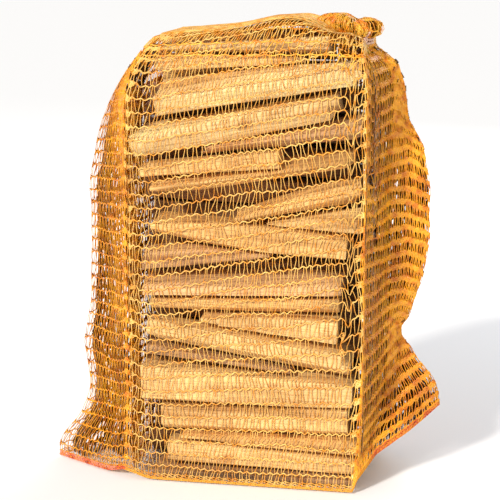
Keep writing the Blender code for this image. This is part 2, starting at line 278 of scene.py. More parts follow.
class WoodTone(Enum):
    """Tones of split softwood and birch, as light and dark colour of the grain, and one dark tone that is
    painted shade.
    """

    PALE = ((0.95, 0.68, 0.31), (0.62, 0.34, 0.11))
    CREAM = ((0.88, 0.57, 0.23), (0.50, 0.25, 0.07))
    HONEY = ((0.80, 0.48, 0.17), (0.40, 0.18, 0.045))
    ROSY = ((0.74, 0.44, 0.20), (0.34, 0.15, 0.055))
    # painted shade: a dark copy of the wood for middle sticks that lie in shade
    SHADED = ((0.30, 0.15, 0.06), (0.08, 0.035, 0.015))
    BARKY = ((0.46, 0.26, 0.12), (0.10, 0.05, 0.022))


@dataclass(frozen=True)
class SplitFace:
    """Finish of the faces that the axe left: long fibres, streaks and splinters.

    It reads the piece's grain attribute: along, across and through the stick.
    """

    tone: WoodTone
    fibre_scale: float = 900.0
    streak_scale: float = 60.0
    knot_scale: float = 26.0
    patch_scale: float = 22.0
    fibre_stretch: tuple = (0.05, 1.0, 1.0)
    streak_stretch: tuple = (0.07, 1.0, 1.0)
    knot_stretch: tuple = (0.55, 1.0, 1.0)
    # the brightest streaks are the light tone raised by this factor: partly lighter grain, partly a painted
    # gleam
    gleam: float = 1.22
    fibre_colours: tuple = ((0.32, (0.42, 0.33, 0.26)), (0.5, WHITE))
    patch_colours: tuple = ((0.4, WHITE), (0.72, (0.78, 0.68, 0.62)))
    knot_colours: tuple = ((0.05, (0.26, 0.14, 0.08)), (0.09, (0.62, 0.42, 0.28)), (0.16, WHITE))
    marking: float = 0.75
    roughness: float = 0.78
    streak_bump: tuple = (0.0016, 0.7)
    fibre_bump: tuple = (0.0007, 0.9)

    def build(self) -> bpy.types.Material:
        """Make the material.

        Returns:
            The finish of the split faces in this tone.
        """
        board = NodeBoard(f"split_wood_{self.tone.name.lower()}")
        light, dark = self.tone.value
        bright = tuple(min(1.0, share * self.gleam) for share in light)
        grain = board.add("Attribute", attribute_name="grain").outputs["Vector"]
        streaks = board.cloud(board.stretched(grain, self.streak_stretch), self.streak_scale, 5.0)
        fibres = board.cloud(board.stretched(grain, self.fibre_stretch), self.fibre_scale, 4.0)
        patches = board.cloud(grain, self.patch_scale, 3.0)
        knots = board.add("TexVoronoi", feature="F1")
        knots.inputs["Scale"].default_value = self.knot_scale
        board.join(board.stretched(grain, self.knot_stretch), knots.inputs["Vector"])
        colour = board.ramp(streaks, ((0.3, dark), (0.47, light), (0.7, bright)))
        for pattern, colours in (
            (fibres, self.fibre_colours),
            (patches, self.patch_colours),
            (knots.outputs["Distance"], self.knot_colours),
        ):
            colour = board.multiplied(self.marking, colour, board.ramp(pattern, colours))
        board.join(colour, board.shader.inputs["Base Color"])
        board.shader.inputs["Roughness"].default_value = self.roughness
        board.bump(streaks, *self.streak_bump)
        board.bump(fibres, *self.fibre_bump)
        return board.material


@dataclass(frozen=True)
class SawnEnd:
    """Finish of the sawn ends: growth rings and saw marks."""

    tone: WoodTone
    ring_scale: float = 190.0
    ring_stretch: tuple = (0.0, 1.0, 0.35)
    ring_wander: float = 1.6
    ring_wander_scale: float = 0.6
    saw_scale: float = 2600.0
    saw_stretch: tuple = (1.0, 1.0, 0.12)
    saw_colours: tuple = ((0.35, (0.72, 0.66, 0.6)), (0.6, WHITE))
    marking: float = 0.7
    roughness: float = 0.88
    saw_bump: tuple = (0.0005, 0.8)

    def build(self) -> bpy.types.Material:
        """Make the material.

        Returns:
            The finish of the sawn ends in this tone.
        """
        board = NodeBoard(f"sawn_end_{self.tone.name.lower()}")
        light, dark = self.tone.value
        grain = board.add("Attribute", attribute_name="grain").outputs["Vector"]
        rings = board.add("TexWave", wave_type="BANDS", bands_direction="Z", wave_profile="SAW")
        rings.inputs["Scale"].default_value = self.ring_scale
        rings.inputs["Distortion"].default_value = self.ring_wander
        rings.inputs["Detail Scale"].default_value = self.ring_wander_scale
        board.join(board.stretched(grain, self.ring_stretch), rings.inputs["Vector"])
        base = board.ramp(rings.outputs["Fac"], ((0.0, dark), (0.35, light), (1.0, light)))
        marks = board.cloud(board.stretched(grain, self.saw_stretch), self.saw_scale, 2.0)
        colour = board.multiplied(self.marking, base, board.ramp(marks, self.saw_colours))
        board.join(colour, board.shader.inputs["Base Color"])
        board.shader.inputs["Roughness"].default_value = self.roughness
        board.bump(marks, *self.saw_bump)
        return board.material


@dataclass(frozen=True)
class StickPlace:
    """Where one stick lies: its solid's search tree, both ends and its own axes."""

    name: str
    number: int
    tree: BVHTree
    left: Vector
    right: Vector
    along: Vector
    across: Vector
    upward: Vector

    @classmethod
    def of(cls, name: str, number: int, end_margin: float) -> "StickPlace":
        """Read a stick's place from its solid.

        Args:
            name: The stick's node.
            number: Its place in the list of sticks.
            end_margin: How far from its ends their points are looked for.

        Returns:
            The stick's place.
        """
        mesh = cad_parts[name].data
        points = [vert.co for vert in mesh.vertices]
        tree = BVHTree.FromPolygons(points, [tuple(face.vertices) for face in mesh.polygons])
        low = min(point.x for point in points)
        high = max(point.x for point in points)
        near_left = [point for point in points if point.x < low + end_margin]
        near_right = [point for point in points if point.x > high - end_margin]
        left = sum(near_left, Vector()) / len(near_left)
        right = sum(near_right, Vector()) / len(near_right)
        along = (right - left).normalized()
        depthwise = Vector((0.0, 1.0, 0.0))
        across = (depthwise - along * depthwise.dot(along)).normalized()
        return cls(name, number, tree, left, right, along, across, along.cross(across) * -1.0)

    def grain_at(self, point: Vector) -> Vector:
        """Where a point lies along, across and through the stick.

        Args:
            point: The point, in the frame.

        Returns:
            The same point in the stick's own axes.
        """
        return Matrix((self.along, self.across, self.upward)) @ (point - self.left)


@dataclass
class Kindling:
    """The split sticks: each takes its solid's place, with torn fibres on its faces."""

    around: int = 72
    slice_length: float = 9.0 * MM
    fewest_slices: int = 8
    end_margin: float = 5.0 * MM
    end_inset: float = 0.8 * MM
    rim_width: float = 0.7 * MM
    sharp_angle: float = math.radians(42.0)
    # depth of the tearing, and its waves per metre along and across the grain
    rough_depth: float = 1.1 * MM
    rough_level: float = 0.35
    rough_waves: tuple = (9.0, 60.0)
    fibre_depth: float = 0.45 * MM
    ridge_share: float = 1.6
    ridge_waves: tuple = (14.0, 330.0)
    splinter_share: float = 0.35
    splinter_waves: tuple = (40.0, 900.0)
    deepest_share: float = 0.6
    pattern_step: float = 3.7
    front_tones: tuple = (
        WoodTone.PALE, WoodTone.CREAM, WoodTone.PALE, WoodTone.PALE, WoodTone.ROSY,
        WoodTone.HONEY, WoodTone.HONEY, WoodTone.HONEY, WoodTone.CREAM, WoodTone.HONEY,
        WoodTone.ROSY, WoodTone.ROSY, WoodTone.HONEY, WoodTone.CREAM, WoodTone.CREAM,
        WoodTone.BARKY, WoodTone.CREAM, WoodTone.CREAM, WoodTone.HONEY, WoodTone.CREAM,
        WoodTone.BARKY,
    )
    inner_tones: tuple = (
        WoodTone.CREAM, WoodTone.HONEY, WoodTone.PALE, WoodTone.ROSY,
        WoodTone.CREAM, WoodTone.HONEY, WoodTone.BARKY,
    )
    tone_step: int = 5
    # middle sticks numbered below this get the painted-shade tone
    shade_painted_below: int = 14
    finishes: dict = field(default_factory=dict)

    def finish_pair(self, tone: WoodTone) -> tuple:
        """Materials in one tone, made once.

        Args:
            tone: The tone.

        Returns:
            The finish of the split faces and that of the sawn ends.
        """
        if tone not in self.finishes:
            self.finishes[tone] = (SplitFace(tone).build(), SawnEnd(tone).build())
        return self.finishes[tone]

    def tone_of(self, stick: StickPlace) -> WoodTone:
        """Pick a stick's tone: as listed in front, painted shade on the middle sticks with low numbers,
        else by turns.

        Args:
            stick: The stick.

        Returns:
            Its tone.
        """
        in_column = int(stick.name[-2:])
        if stick.name.startswith("stick_front"):
            return self.front_tones[in_column - 1]
        if stick.name.startswith("stick_middle") and in_column < self.shade_painted_below:
            return WoodTone.SHADED
        return self.inner_tones[(stick.number * self.tone_step) % len(self.inner_tones)]

    def torn(self, place: Vector, seed: float) -> float:
        """How deep the split face lies below the solid at a point of its grain.

        Args:
            place: Along, across and through the stick.
            seed: A different value for each stick.

        Returns:
            Depth in metres, never less than 0.
        """
        along, across = self.rough_waves
        rough = noise.noise(Vector((place.x * along + seed, place.y * across, place.z * across)))
        along, across = self.ridge_waves
        ridges = noise.noise(Vector((place.x * along, place.y * across + seed, place.z * across)))
        along, across = self.splinter_waves
        splinters = noise.noise(Vector((place.x * along, place.y * across, place.z * across + seed)))
        depth = self.rough_depth * max(0.0, self.rough_level + rough)
        depth += self.fibre_depth * self.ridge_share * abs(ridges)
        return depth + self.fibre_depth * self.splinter_share * abs(splinters)

    def build_one(self, stick: StickPlace) -> bpy.types.Object:
        """Wrap a ring of points round one stick and tear its faces.

        Args:
            stick: The stick.

        Returns:
            The finished stick.
        """
        length = (stick.right - stick.left).length
        slices = max(self.fewest_slices, round(length / self.slice_length))
        span = length - 2.0 * self.end_inset
        seed = stick.number * self.pattern_step
        solid = bmesh.new()
        grain = solid.verts.layers.float_vector.new("grain")
        bmesh.ops.create_grid(solid, x_segments=slices, y_segments=self.around, size=0.5)
        for vert in solid.verts:
            centre = stick.left + stick.along * (self.end_inset + span * (vert.co.x + 0.5))
            angle = 2.0 * math.pi * (vert.co.y + 0.5)
            ray = stick.across * math.cos(angle) + stick.upward * math.sin(angle)
            hit = stick.tree.ray_cast(centre, ray)[0]
            surface = hit if hit else centre + ray * MM
            local = stick.grain_at(surface)
            depth = min(self.torn(local, seed), (surface - centre).length * self.deepest_share)
            vert.co = surface - ray * depth
            vert[grain] = local + Vector((seed, 0.0, 0.0))
        bmesh.ops.remove_doubles(solid, verts=solid.verts, dist=1e-6)
        self.close_ends(solid, stick)
        return self.finished(solid, stick)

    def close_ends(self, solid: bmesh.types.BMesh, stick: StickPlace) -> None:
        """Close both ends with the sawn faces, out at the ends of the solid.

        Args:
            solid: The wrapped stick, open at both ends.
            stick: The stick.
        """
        grain = solid.verts.layers.float_vector["grain"]
        shift = Vector((stick.number * self.pattern_step, 0.0, 0.0))
        halfway = (stick.right - stick.left).length / 2.0
        rims = [edge for edge in solid.edges if edge.is_boundary]
        for cap in bmesh.ops.holes_fill(solid, edges=rims, sides=self.around)["faces"]:
            inner = bmesh.ops.inset_region(
                solid, faces=[cap], thickness=self.rim_width, depth=0.0, use_even_offset=False,
            )
            for face in inner["faces"]:
                face.material_index = 0
            cap.material_index = 1
            middle = cap.calc_center_median()
            side = 1.0 if (middle - stick.left).dot(stick.along) > halfway else -1.0
            outward = stick.along * side
            hit = stick.tree.ray_cast(middle, outward)[0]
            push = outward * ((hit - middle).length if hit else 0.0)
            for vert in cap.verts:
                vert.co += push
                vert[grain] = stick.grain_at(vert.co) + shift
        bmesh.ops.recalc_face_normals(solid, faces=solid.faces)

    def finished(self, solid: bmesh.types.BMesh, stick: StickPlace) -> bpy.types.Object:
        """Store a stick with its two finishes.

        Args:
            solid: The closed stick.
            stick: The stick.

        Returns:
            The finished stick.
        """
        mesh = bpy.data.meshes.new(stick.name)
        solid.to_mesh(mesh)
        solid.free()
        for material in self.finish_pair(self.tone_of(stick)):
            mesh.materials.append(material)
        mesh.shade_smooth()
        mesh.set_sharp_from_angle(angle=self.sharp_angle)
        piece = link_piece(f"{stick.name}_split", mesh)
        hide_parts(stick.name)
        return piece

    def build(self) -> None:
        """Build every stick."""
        names = sorted(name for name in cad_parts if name.startswith("stick"))
        for number, name in enumerate(names):
            self.build_one(StickPlace.of(name, number, self.end_margin))


@dataclass(frozen=True)
class Stretch:
    """One side of the sack's section, between two of its corners; lifts are in millimetres."""

    name: str
    stitches: int
    lift_start: float
    lift_end: float
    hold_start: float
    hold_end: float


# Sides of the section from the left edge round the front and back again: how
# many stitches each has, how far its rows are lifted, and how firmly it keeps
# its own shape instead of drawing in on the wood
STRETCHES = (
    Stretch("left_wing_front", 14, 6.0, -4.0, 1.0, 0.1),
    Stretch("front", 31, -4.0, 38.0, 0.03, 0.03),
    Stretch("right_end_front", 11, 38.0, 12.0, 0.05, 0.35),
    Stretch("right_wing_front", 10, 12.0, -16.0, 0.6, 1.0),
    Stretch("right_wing_back", 10, -16.0, 8.0, 1.0, 0.6),
    Stretch("right_end_back", 11, 8.0, 20.0, 0.35, 0.05),
    Stretch("back", 31, 20.0, 5.0, 0.03, 0.03),
    Stretch("left_wing_back", 14, 5.0, 6.0, 0.1, 1.0),
)
SIDE = {stretch.name: number for number, stretch in enumerate(STRETCHES)}


@dataclass
class SackForm:
    """The surface that the net lies on: draped over the wood, drawn in at the neck.

    Its grid has a column of points for each half stitch round the sack, and each
    column is read by its length from the bottom hem. All its sizes are millimetres.
    """

    half_depth: float = 74.5
    # edges of both wings, as height, place along the sack and place through it;
    # corners of the wood, as height and place along at the left and right; top
    # of the sack, as place along and height
    left_edge: tuple = (
        (0, -201, -27), (8, -203, -26), (18, -193, -23), (28, -181, -15), (40, -172, -8),
        (60, -175, -5), (120, -179, 0), (165, -171, 0), (226, -170, 0), (293, -169, 0),
        (319, -163, 0), (349, -156, 0), (368, -149, 0), (382, -141, 0), (396, -132, 0),
        (412, -120, 0), (424, -106, 0),
    )
    right_edge: tuple = (
        (0, 108, -75), (11, 112, -72), (22, 121, -60), (30, 128, -48), (38, 143, -34),
        (47, 159, -20), (55, 172, -5), (66, 187, 10), (84, 176, 4), (98, 165, 1),
        (110, 159, 0), (132, 155, 0), (141, 147, 0), (151, 147, 0), (160, 155, 0),
        (202, 166, 0), (240, 172, 0), (287, 173, 0), (330, 164, 0), (356, 149, 0),
        (388, 145, 0), (410, 138, 0), (424, 119, 0),
    )
    corners: tuple = ((0, -115, 117), (380, -115, 117), (398, -111, 117), (424, -99, 112))
    crown: tuple = (
        (-120, 427), (-100, 434), (-80, 439), (-50, 442), (-20, 444), (0, 447),
        (20, 452), (50, 453), (66, 449), (80, 443), (92, 438), (130, 434),
    )
    wing_half_thickness: float = 13.0
    wing_hollow: float = 5.0
    root_reach: float = 18.0
    root_inset: float = 9.0
    # hem: its level, the right ear's corners and tip, and the left ear's lifted front
    hem_level: float = 2.0
    ear_height: float = 66.0
    ear_corner: tuple = (108.0, -74.5)
    ear_rear_corner: tuple = (104.0, 74.5)
    ear_tip: tuple = (187.0, 10.0)
    corner_lift: float = 7.0
    lift_at: float = -118.0
    lift_width: float = 15.0
    lift_front: tuple = (20.0, 40.0)
    hem_blend: float = 70.0
    shoulder: float = 424.0
    # neck and the gathers that run to it over the top
    neck: tuple = (103.0, -22.0)
    neck_radius: float = 9.6
    neck_rise: float = 9.0
    neck_hollow: tuple = (4.0, 18.0)
    evened: float = 0.55
    top_easing: float = 1.8
    pleats: float = 13.0
    pleat_depth: float = 1.5
    shoulder_round: float = 16.0
    creases: float = 9.0
    crease_depth: float = 2.6
    crease_turn: float = 0.7
    crease_reach: float = 60.0
    ruffle: tuple = (
        (9.6, 433.0), (15.0, 435.6), (21.5, 439.4), (24.5, 444.0), (24.8, 448.5), (22.6, 452.6),
        (18.0, 455.4), (12.5, 456.4), (8.0, 454.5), (5.5, 448.5),
    )
    ruffle_stretch: tuple = (1.2, 0.86)
    ruffle_flop: tuple = (-9.0, -2.0)
    ruffle_opening: float = 9.0
    ruffle_full_radius: float = 14.0
    gather_depth: float = 1.3
    lobes: float = 5.0
    lobe_depth: float = 1.5
    right_drop: float = 4.0
    right_drop_from: float = 88.0
    right_drop_width: float = 14.0
    notch_depth: float = 2.5
    notch_at: float = 101.0
    notch_width: float = 5.0
    per_stitch: int = 2
    wall_levels: int = 74
    top_levels: int = 26
    ruffle_levels: int = 20
    clearance: float = 0.9
    row_height: float = 13.0
    steps_per_row: int = 4

    def profile(self, table: tuple, height: np.ndarray) -> list:
        """Read a given outline at many heights.

        Args:
            table: Rows of a height and the values there.
            height: The heights.

        Returns:
            One array for each value of the rows.
        """
        heights = [row[0] for row in table]
        return [np.interp(height, heights, [row[k] for row in table]) for k in range(1, len(table[0]))]

    def section_corners(self, height: np.ndarray) -> list:
        """Corners of the sack's section at many heights, from the left edge round the front.

        Args:
            height: Heights in millimetres.

        Returns:
            One array of plan positions for each corner.
        """
        left_x, left_y = self.profile(self.left_edge, height)
        right_x, right_y = self.profile(self.right_edge, height)
        corner_left, corner_right = self.profile(self.corners, height)
        root_x = np.minimum(corner_right + self.root_reach, right_x - self.root_inset)
        depth = np.full_like(left_x, self.half_depth)
        thick = self.wing_half_thickness
        pairs = (
            (left_x, left_y), (corner_left, -depth), (corner_right, -depth), (root_x, right_y - thick),
            (right_x, right_y), (root_x, right_y + thick), (corner_right, depth), (corner_left, depth),
            (left_x, left_y),
        )
        return [np.stack(pair, axis=-1) for pair in pairs]

    def columns(self) -> tuple:
        """Where each column of the grid stands.

        Returns:
            For each column its side, its share of it, how far its rows are lifted and
            how firmly it holds its shape.
        """
        index, share, lift, hold = [], [], [], []
        for number, stretch in enumerate(STRETCHES):
            count = stretch.stitches * self.per_stitch
            for step in range(count):
                part = step / count
                index.append(number)
                share.append(part)
                lift.append(stretch.lift_start + (stretch.lift_end - stretch.lift_start) * part)
                hold.append(stretch.hold_start + (stretch.hold_end - stretch.hold_start) * part)
        return np.array(index), np.array(share), np.array(lift), np.array(hold)

    def hem(self, index: np.ndarray, share: np.ndarray) -> np.ndarray:
        """Lowest point of each column: on the floor, or on the hem of the lifted right ear.

        Args:
            index: Each column's stretch.
            share: Each column's share of its stretch.

        Returns:
            One point for each column.
        """
        corners = self.section_corners(np.array([self.hem_level]))
        corners[SIDE["right_end_front"]] = np.array([self.ear_corner])
        start = np.array([corners[side][0] for side in index])
        stop = np.array([corners[side + 1][0] for side in index])
        plan = start + (stop - start) * share[:, None]
        floor = np.concatenate([plan, np.full((len(index), 1), self.hem_level)], axis=1)
        lift_start, lift_run = self.lift_front
        by_corner = np.exp(-((floor[:, 0] - self.lift_at) / self.lift_width) ** 2)
        in_front = smooth_ramp((-floor[:, 1] - lift_start) / lift_run)
        floor[:, 2] += self.corner_lift * by_corner * in_front
        climb = self.ear_climb(index, share)
        height = self.ear_height * climb
        edge_x, edge_y = self.profile(self.right_edge, height)
        front = np.stack([edge_x, edge_y, height + self.hem_level], axis=1)
        rear_corner = np.array([*self.ear_rear_corner, self.hem_level])
        tip = np.array([*self.ear_tip, self.ear_height + self.hem_level])
        rear = rear_corner + (tip - rear_corner) * climb[:, None]
        front_sides = (SIDE["right_end_front"], SIDE["right_wing_front"])
        lifted = np.where(np.isin(index, front_sides)[:, None], front, rear)
        return np.where(self.in_right_wing(index)[:, None], lifted, floor)

    def in_right_wing(self, index: np.ndarray) -> np.ndarray:
        """Which columns stand in the right wing or over the sticks' right ends.

        Args:
            index: Each column's side.

        Returns:
            True for those columns.
        """
        return (index >= SIDE["right_end_front"]) & (index <= SIDE["right_end_back"])

    def ear_climb(self, index: np.ndarray, share: np.ndarray) -> np.ndarray:
        """How far up the right ear's hem each column stands.

        Args:
            index: Each column's side.
            share: Each column's share of its side.

        Returns:
            0 at the wood's corners and in the other sides, and 1 at the ear's tip.
        """
        end = STRETCHES[SIDE["right_end_front"]].stitches
        end_share = end / (end + STRETCHES[SIDE["right_wing_front"]].stitches)
        climbs = {
            "right_end_front": share * end_share,
            "right_wing_front": end_share + share * (1.0 - end_share),
            "right_wing_back": 1.0 - share * (1.0 - end_share),
            "right_end_back": (1.0 - share) * end_share,
        }
        return np.select([index == SIDE[name] for name in climbs], list(climbs.values()), 0.0)

    def wall(self, index: np.ndarray, share: np.ndarray) -> np.ndarray:
        """The walls between the hem and the shoulder.

        Args:
            index: Each column's side.
            share: Each column's share of its side.

        Returns:
            Points by column and level.
        """
        hem = self.hem(index, share)
        level = np.linspace(0.0, 1.0, self.wall_levels)
        height = hem[:, 2:3] + (self.shoulder - hem[:, 2:3]) * level[None, :]
        above_ear = np.maximum(height, self.ear_height)
        read_at = np.where(self.in_right_wing(index)[:, None], above_ear, height)
        corners = np.stack(self.section_corners(read_at), axis=0)
        column = np.arange(len(index))
        start = corners[index, column]
        stop = corners[index + 1, column]
        plan = start + (stop - start) * share[:, None, None]
        left_wing = np.isin(index, (SIDE["left_wing_front"], SIDE["left_wing_back"]))
        inward = self.wing_hollow * np.sin(np.pi * share) * left_wing
        plan[:, :, 0] += inward[:, None]
        blend = smooth_ramp((height - hem[:, 2:3]) / self.hem_blend)[:, :, None]
        plan = hem[:, None, :2] * (1.0 - blend) + plan * blend
        return np.concatenate([plan, height[:, :, None]], axis=2)

    def over_top(self, shoulder: np.ndarray) -> np.ndarray:
        """The top, from the shoulder to the neck, then up the ruffle.

        Args:
            shoulder: Highest point of each column's wall.

        Returns:
            Points by column and level.
        """
        centre = np.array(self.neck)
        away = shoulder[:, :2] - centre
        span = np.linalg.norm(away, axis=1)
        true_angle = np.unwrap(np.arctan2(away[:, 1], away[:, 0]))
        even_angle = true_angle[0] + 2.0 * np.pi * np.arange(len(span)) / len(span)
        angle = (1.0 - self.evened) * true_angle + self.evened * even_angle
        aim = np.stack([np.cos(angle), np.sin(angle)], axis=1)
        pleat = self.pleat_depth * np.cos(angle * self.pleats)
        inner = centre + aim * (self.neck_radius + pleat)[:, None]
        hollow_start, hollow_run = self.neck_hollow
        rounding = np.clip(self.shoulder_round / span, 0.05, 1.0)
        crease_wave = self.crease_depth * np.cos(angle * self.creases + self.crease_turn)
        levels = []
        for step in range(1, self.top_levels + 1):
            part = 1.0 - (1.0 - step / self.top_levels) ** self.top_easing
            plan = shoulder[:, :2] + (inner - shoulder[:, :2]) * part
            distance = np.linalg.norm(plan - centre, axis=1)
            out = smooth_ramp((distance - self.neck_radius - hollow_start) / hollow_run)
            edge = smooth_ramp(part / rounding)
            near_neck = smooth_ramp(self.crease_reach / np.maximum(distance, 1.0))
            crease = crease_wave * np.sin(np.pi * min(part, 1.0)) * near_neck
            crown = np.interp(plan[:, 0], *np.transpose(self.crown)) - self.shoulder
            rise = (crown * out + crease + self.neck_rise * (1.0 - out)) * edge
            height = self.shoulder + np.maximum(rise, -1.0)
            levels.append(np.concatenate([plan, height[:, None]], axis=1))
        return np.stack(levels + self.over_neck(centre, aim, angle), axis=1)

    def over_neck(self, centre: np.ndarray, aim: np.ndarray, angle: np.ndarray) -> list:
        """The ruffle: gathers that swell out over the tie and roll in on themselves.

        Args:
            centre: The neck's place in plan.
            aim: Each column's direction out of the neck.
            angle: The same as an angle.

        Returns:
            Points by column, for each level.
        """
        _, (radii, heights) = evenly_along(self.ruffle, self.ruffle_levels + 1)
        neck_top = self.ruffle[0][1]
        stretch = np.array(self.ruffle_stretch)
        gathers = self.gather_depth * np.cos(angle * self.pleats)
        fold = gathers + self.lobe_depth * np.cos(angle * self.lobes + 1.0)
        levels = []
        for radius, height in zip(radii[1:], heights[1:]):
            opened = float(smooth_ramp((height - neck_top) / self.ruffle_opening))
            opened *= min(radius / self.ruffle_full_radius, 1.0)
            spread = 1.0 + (stretch - 1.0) * opened
            plan = centre + np.array(self.ruffle_flop) * opened
            plan = plan + aim * (radius + fold * opened)[:, None] * spread
            drop = smooth_ramp((plan[:, 0] - self.right_drop_from) / self.right_drop_width)
            notch = np.exp(-((plan[:, 0] - self.notch_at) / self.notch_width) ** 2)
            valley = self.right_drop * drop + self.notch_depth * notch
            level = height - valley * opened
            levels.append(np.concatenate([plan, level[:, None]], axis=1))
        return levels

    def build(self) -> dict:
        """Shape, drape and measure the sack's surfaces.

        Returns:
            Each surface by its name.
        """
        index, share, lift, hold = self.columns()
        wall = self.wall(index, share)
        points = np.concatenate([wall, self.over_top(wall[:, -1])], axis=1)
        points = Drape(self).laid_on_wood(points, hold)
        loose = LooseNet(self)
        right_apex = sum(stretch.stitches for stretch in STRETCHES[:4]) * self.per_stitch
        return {
            "sack": NetSurface.measured(points, lift, self),
            "underside": loose.underside(points),
            "left_fold": loose.inner_fold(points, 0, loose.left_fold_reach),
            "right_fold": loose.inner_fold(points, right_apex, loose.right_fold_reach),
            "left_tuck": loose.left_tuck(),
            "right_tuck": loose.right_tuck(),
            "crown_fold": loose.crown_fold(points),
        }


@dataclass
class Drape:
    """Draws the sack's free parts in until they lie on the wood, and ruffles them."""

    form: SackForm
    turns: int = 16
    drawing_turns: int = 12
    smoothing: float = 0.5
    draw: float = 0.55
    return_share: float = 0.5
    push_every: int = 3
    push_reach: float = 12.0
    centre: tuple = (2.0, 0.0)
    half_length: float = 125.0
    top_hold: float = 0.35
    neck_levels: int = 6
    hem_levels: int = 2
    waves: tuple = ((2.2, 1.0 / 9.0, 1.0 / 3.2, 3), (1.1, 1.0 / 4.0, 1.0 / 2.0, 8))
    sway: tuple = ((1.6, 1.0 / 13.0, 1.0 / 7.0, 5),)
    least_slack: float = 0.02
    floor_gap: float = 0.8

    def wood_tree(self) -> BVHTree:
        """Search tree of all the sticks' solids.

        Returns:
            The tree, in millimetres.
        """
        points, faces = [], []
        for name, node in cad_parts.items():
            if name.startswith("stick"):
                start = len(points)
                points += [vert.co / MM for vert in node.data.vertices]
                faces += [tuple(start + corner for corner in face.vertices) for face in node.data.polygons]
        return BVHTree.FromPolygons(points, faces)

    def pushed_out(self, points: np.ndarray, tree: BVHTree) -> np.ndarray:
        """Move points that are in or too near the wood to just outside it.

        Args:
            points: The surface by column and level.
            tree: Search tree of the wood.

        Returns:
            The surface, clear of the wood.
        """
        clearance = self.form.clearance
        flat = points.reshape(-1, 3)
        for row in range(len(flat)):
            place, normal, _, distance = tree.find_nearest(flat[row], self.push_reach)
            if place is None:
                continue
            offset = Vector(flat[row]) - place
            if offset.dot(normal) < 0.0:
                flat[row] = place + normal * clearance
            elif distance < clearance:
                flat[row] = place + offset.normalized() * clearance
        return flat.reshape(points.shape)

    def firmness(self, levels: int, hold: np.ndarray) -> np.ndarray:
        """How firmly each point stays where the form puts it.

        Args:
            levels: How many levels the surface has.
            hold: How firmly each column keeps its own shape.

        Returns:
            0 for free to 1 for fixed, by column and level.
        """
        wall, top = self.form.wall_levels, self.form.top_levels
        firm = np.repeat(hold[:, None], levels, axis=1)
        firm[:, wall:] = np.maximum(firm[:, wall:], self.top_hold)
        firm[:, wall + top - self.neck_levels:] = 1.0
        firm[:, :self.hem_levels] = 1.0
        return firm[:, :, None]

    def inward(self, points: np.ndarray) -> np.ndarray:
        """Which way each point draws in: to the nearest side of the wood, or down on its top.

        Args:
            points: The surface by column and level.

        Returns:
            Directions of length 1.
        """
        aim = np.zeros_like(points)
        plan = points[:, :, :2] - np.array(self.centre)
        through = np.abs(plan[:, :, 1]) / self.form.half_depth
        at_face = through > np.abs(plan[:, :, 0]) / self.half_length
        aim[:, :, 1] = np.where(at_face, -np.sign(plan[:, :, 1]), 0.0)
        aim[:, :, 0] = np.where(at_face, 0.0, -np.sign(plan[:, :, 0]))
        aim[:, self.form.wall_levels:, :] = (0.0, 0.0, -1.0)
        return aim

    def laid_on_wood(self, points: np.ndarray, hold: np.ndarray) -> np.ndarray:
        """Drape the surface.

        Args:
            points: The surface by column and level.
            hold: How firmly each column keeps its own shape.

        Returns:
            The draped and ruffled surface.
        """
        tree = self.wood_tree()
        anchor = points.copy()
        firm = self.firmness(points.shape[1], hold)
        for turn in range(self.turns):
            around = (np.roll(points, 1, axis=0) + np.roll(points, -1, axis=0)) / 2.0
            along = points.copy()
            along[:, 1:-1] = (points[:, 2:] + points[:, :-2]) / 2.0
            middle = (around + along) / 2.0
            points = points + (middle - points) * self.smoothing * (1.0 - firm)
            if turn < self.drawing_turns:
                points = points + self.inward(points) * self.draw * (1.0 - firm)
            points = points + (anchor - points) * firm * self.return_share
            if turn % self.push_every == self.push_every - 1 or turn > self.drawing_turns:
                points = self.pushed_out(points, tree)
        return self.ruffled(points, hold)

    def ruffled(self, points: np.ndarray, hold: np.ndarray) -> np.ndarray:
        """Add the slack net's small waves, strongest in the wings.

        Args:
            points: The draped surface by column and level.
            hold: How firmly each column keeps its own shape, high in the wings.

        Returns:
            The ruffled surface, clear of the floor.
        """
        level, column = np.meshgrid(np.arange(points.shape[1]), np.arange(points.shape[0]))
        on_wall = (level >= self.hem_levels) & (level < self.form.wall_levels)
        slack = (hold[:, None] + self.least_slack) * on_wall
        points[:, :, 1] += layered_noise(column, level, self.waves) * slack
        points[:, :, 0] += layered_noise(column, level, self.sway) * slack
        points[:, :, 2] = np.maximum(points[:, :, 2], self.floor_gap)
        return points


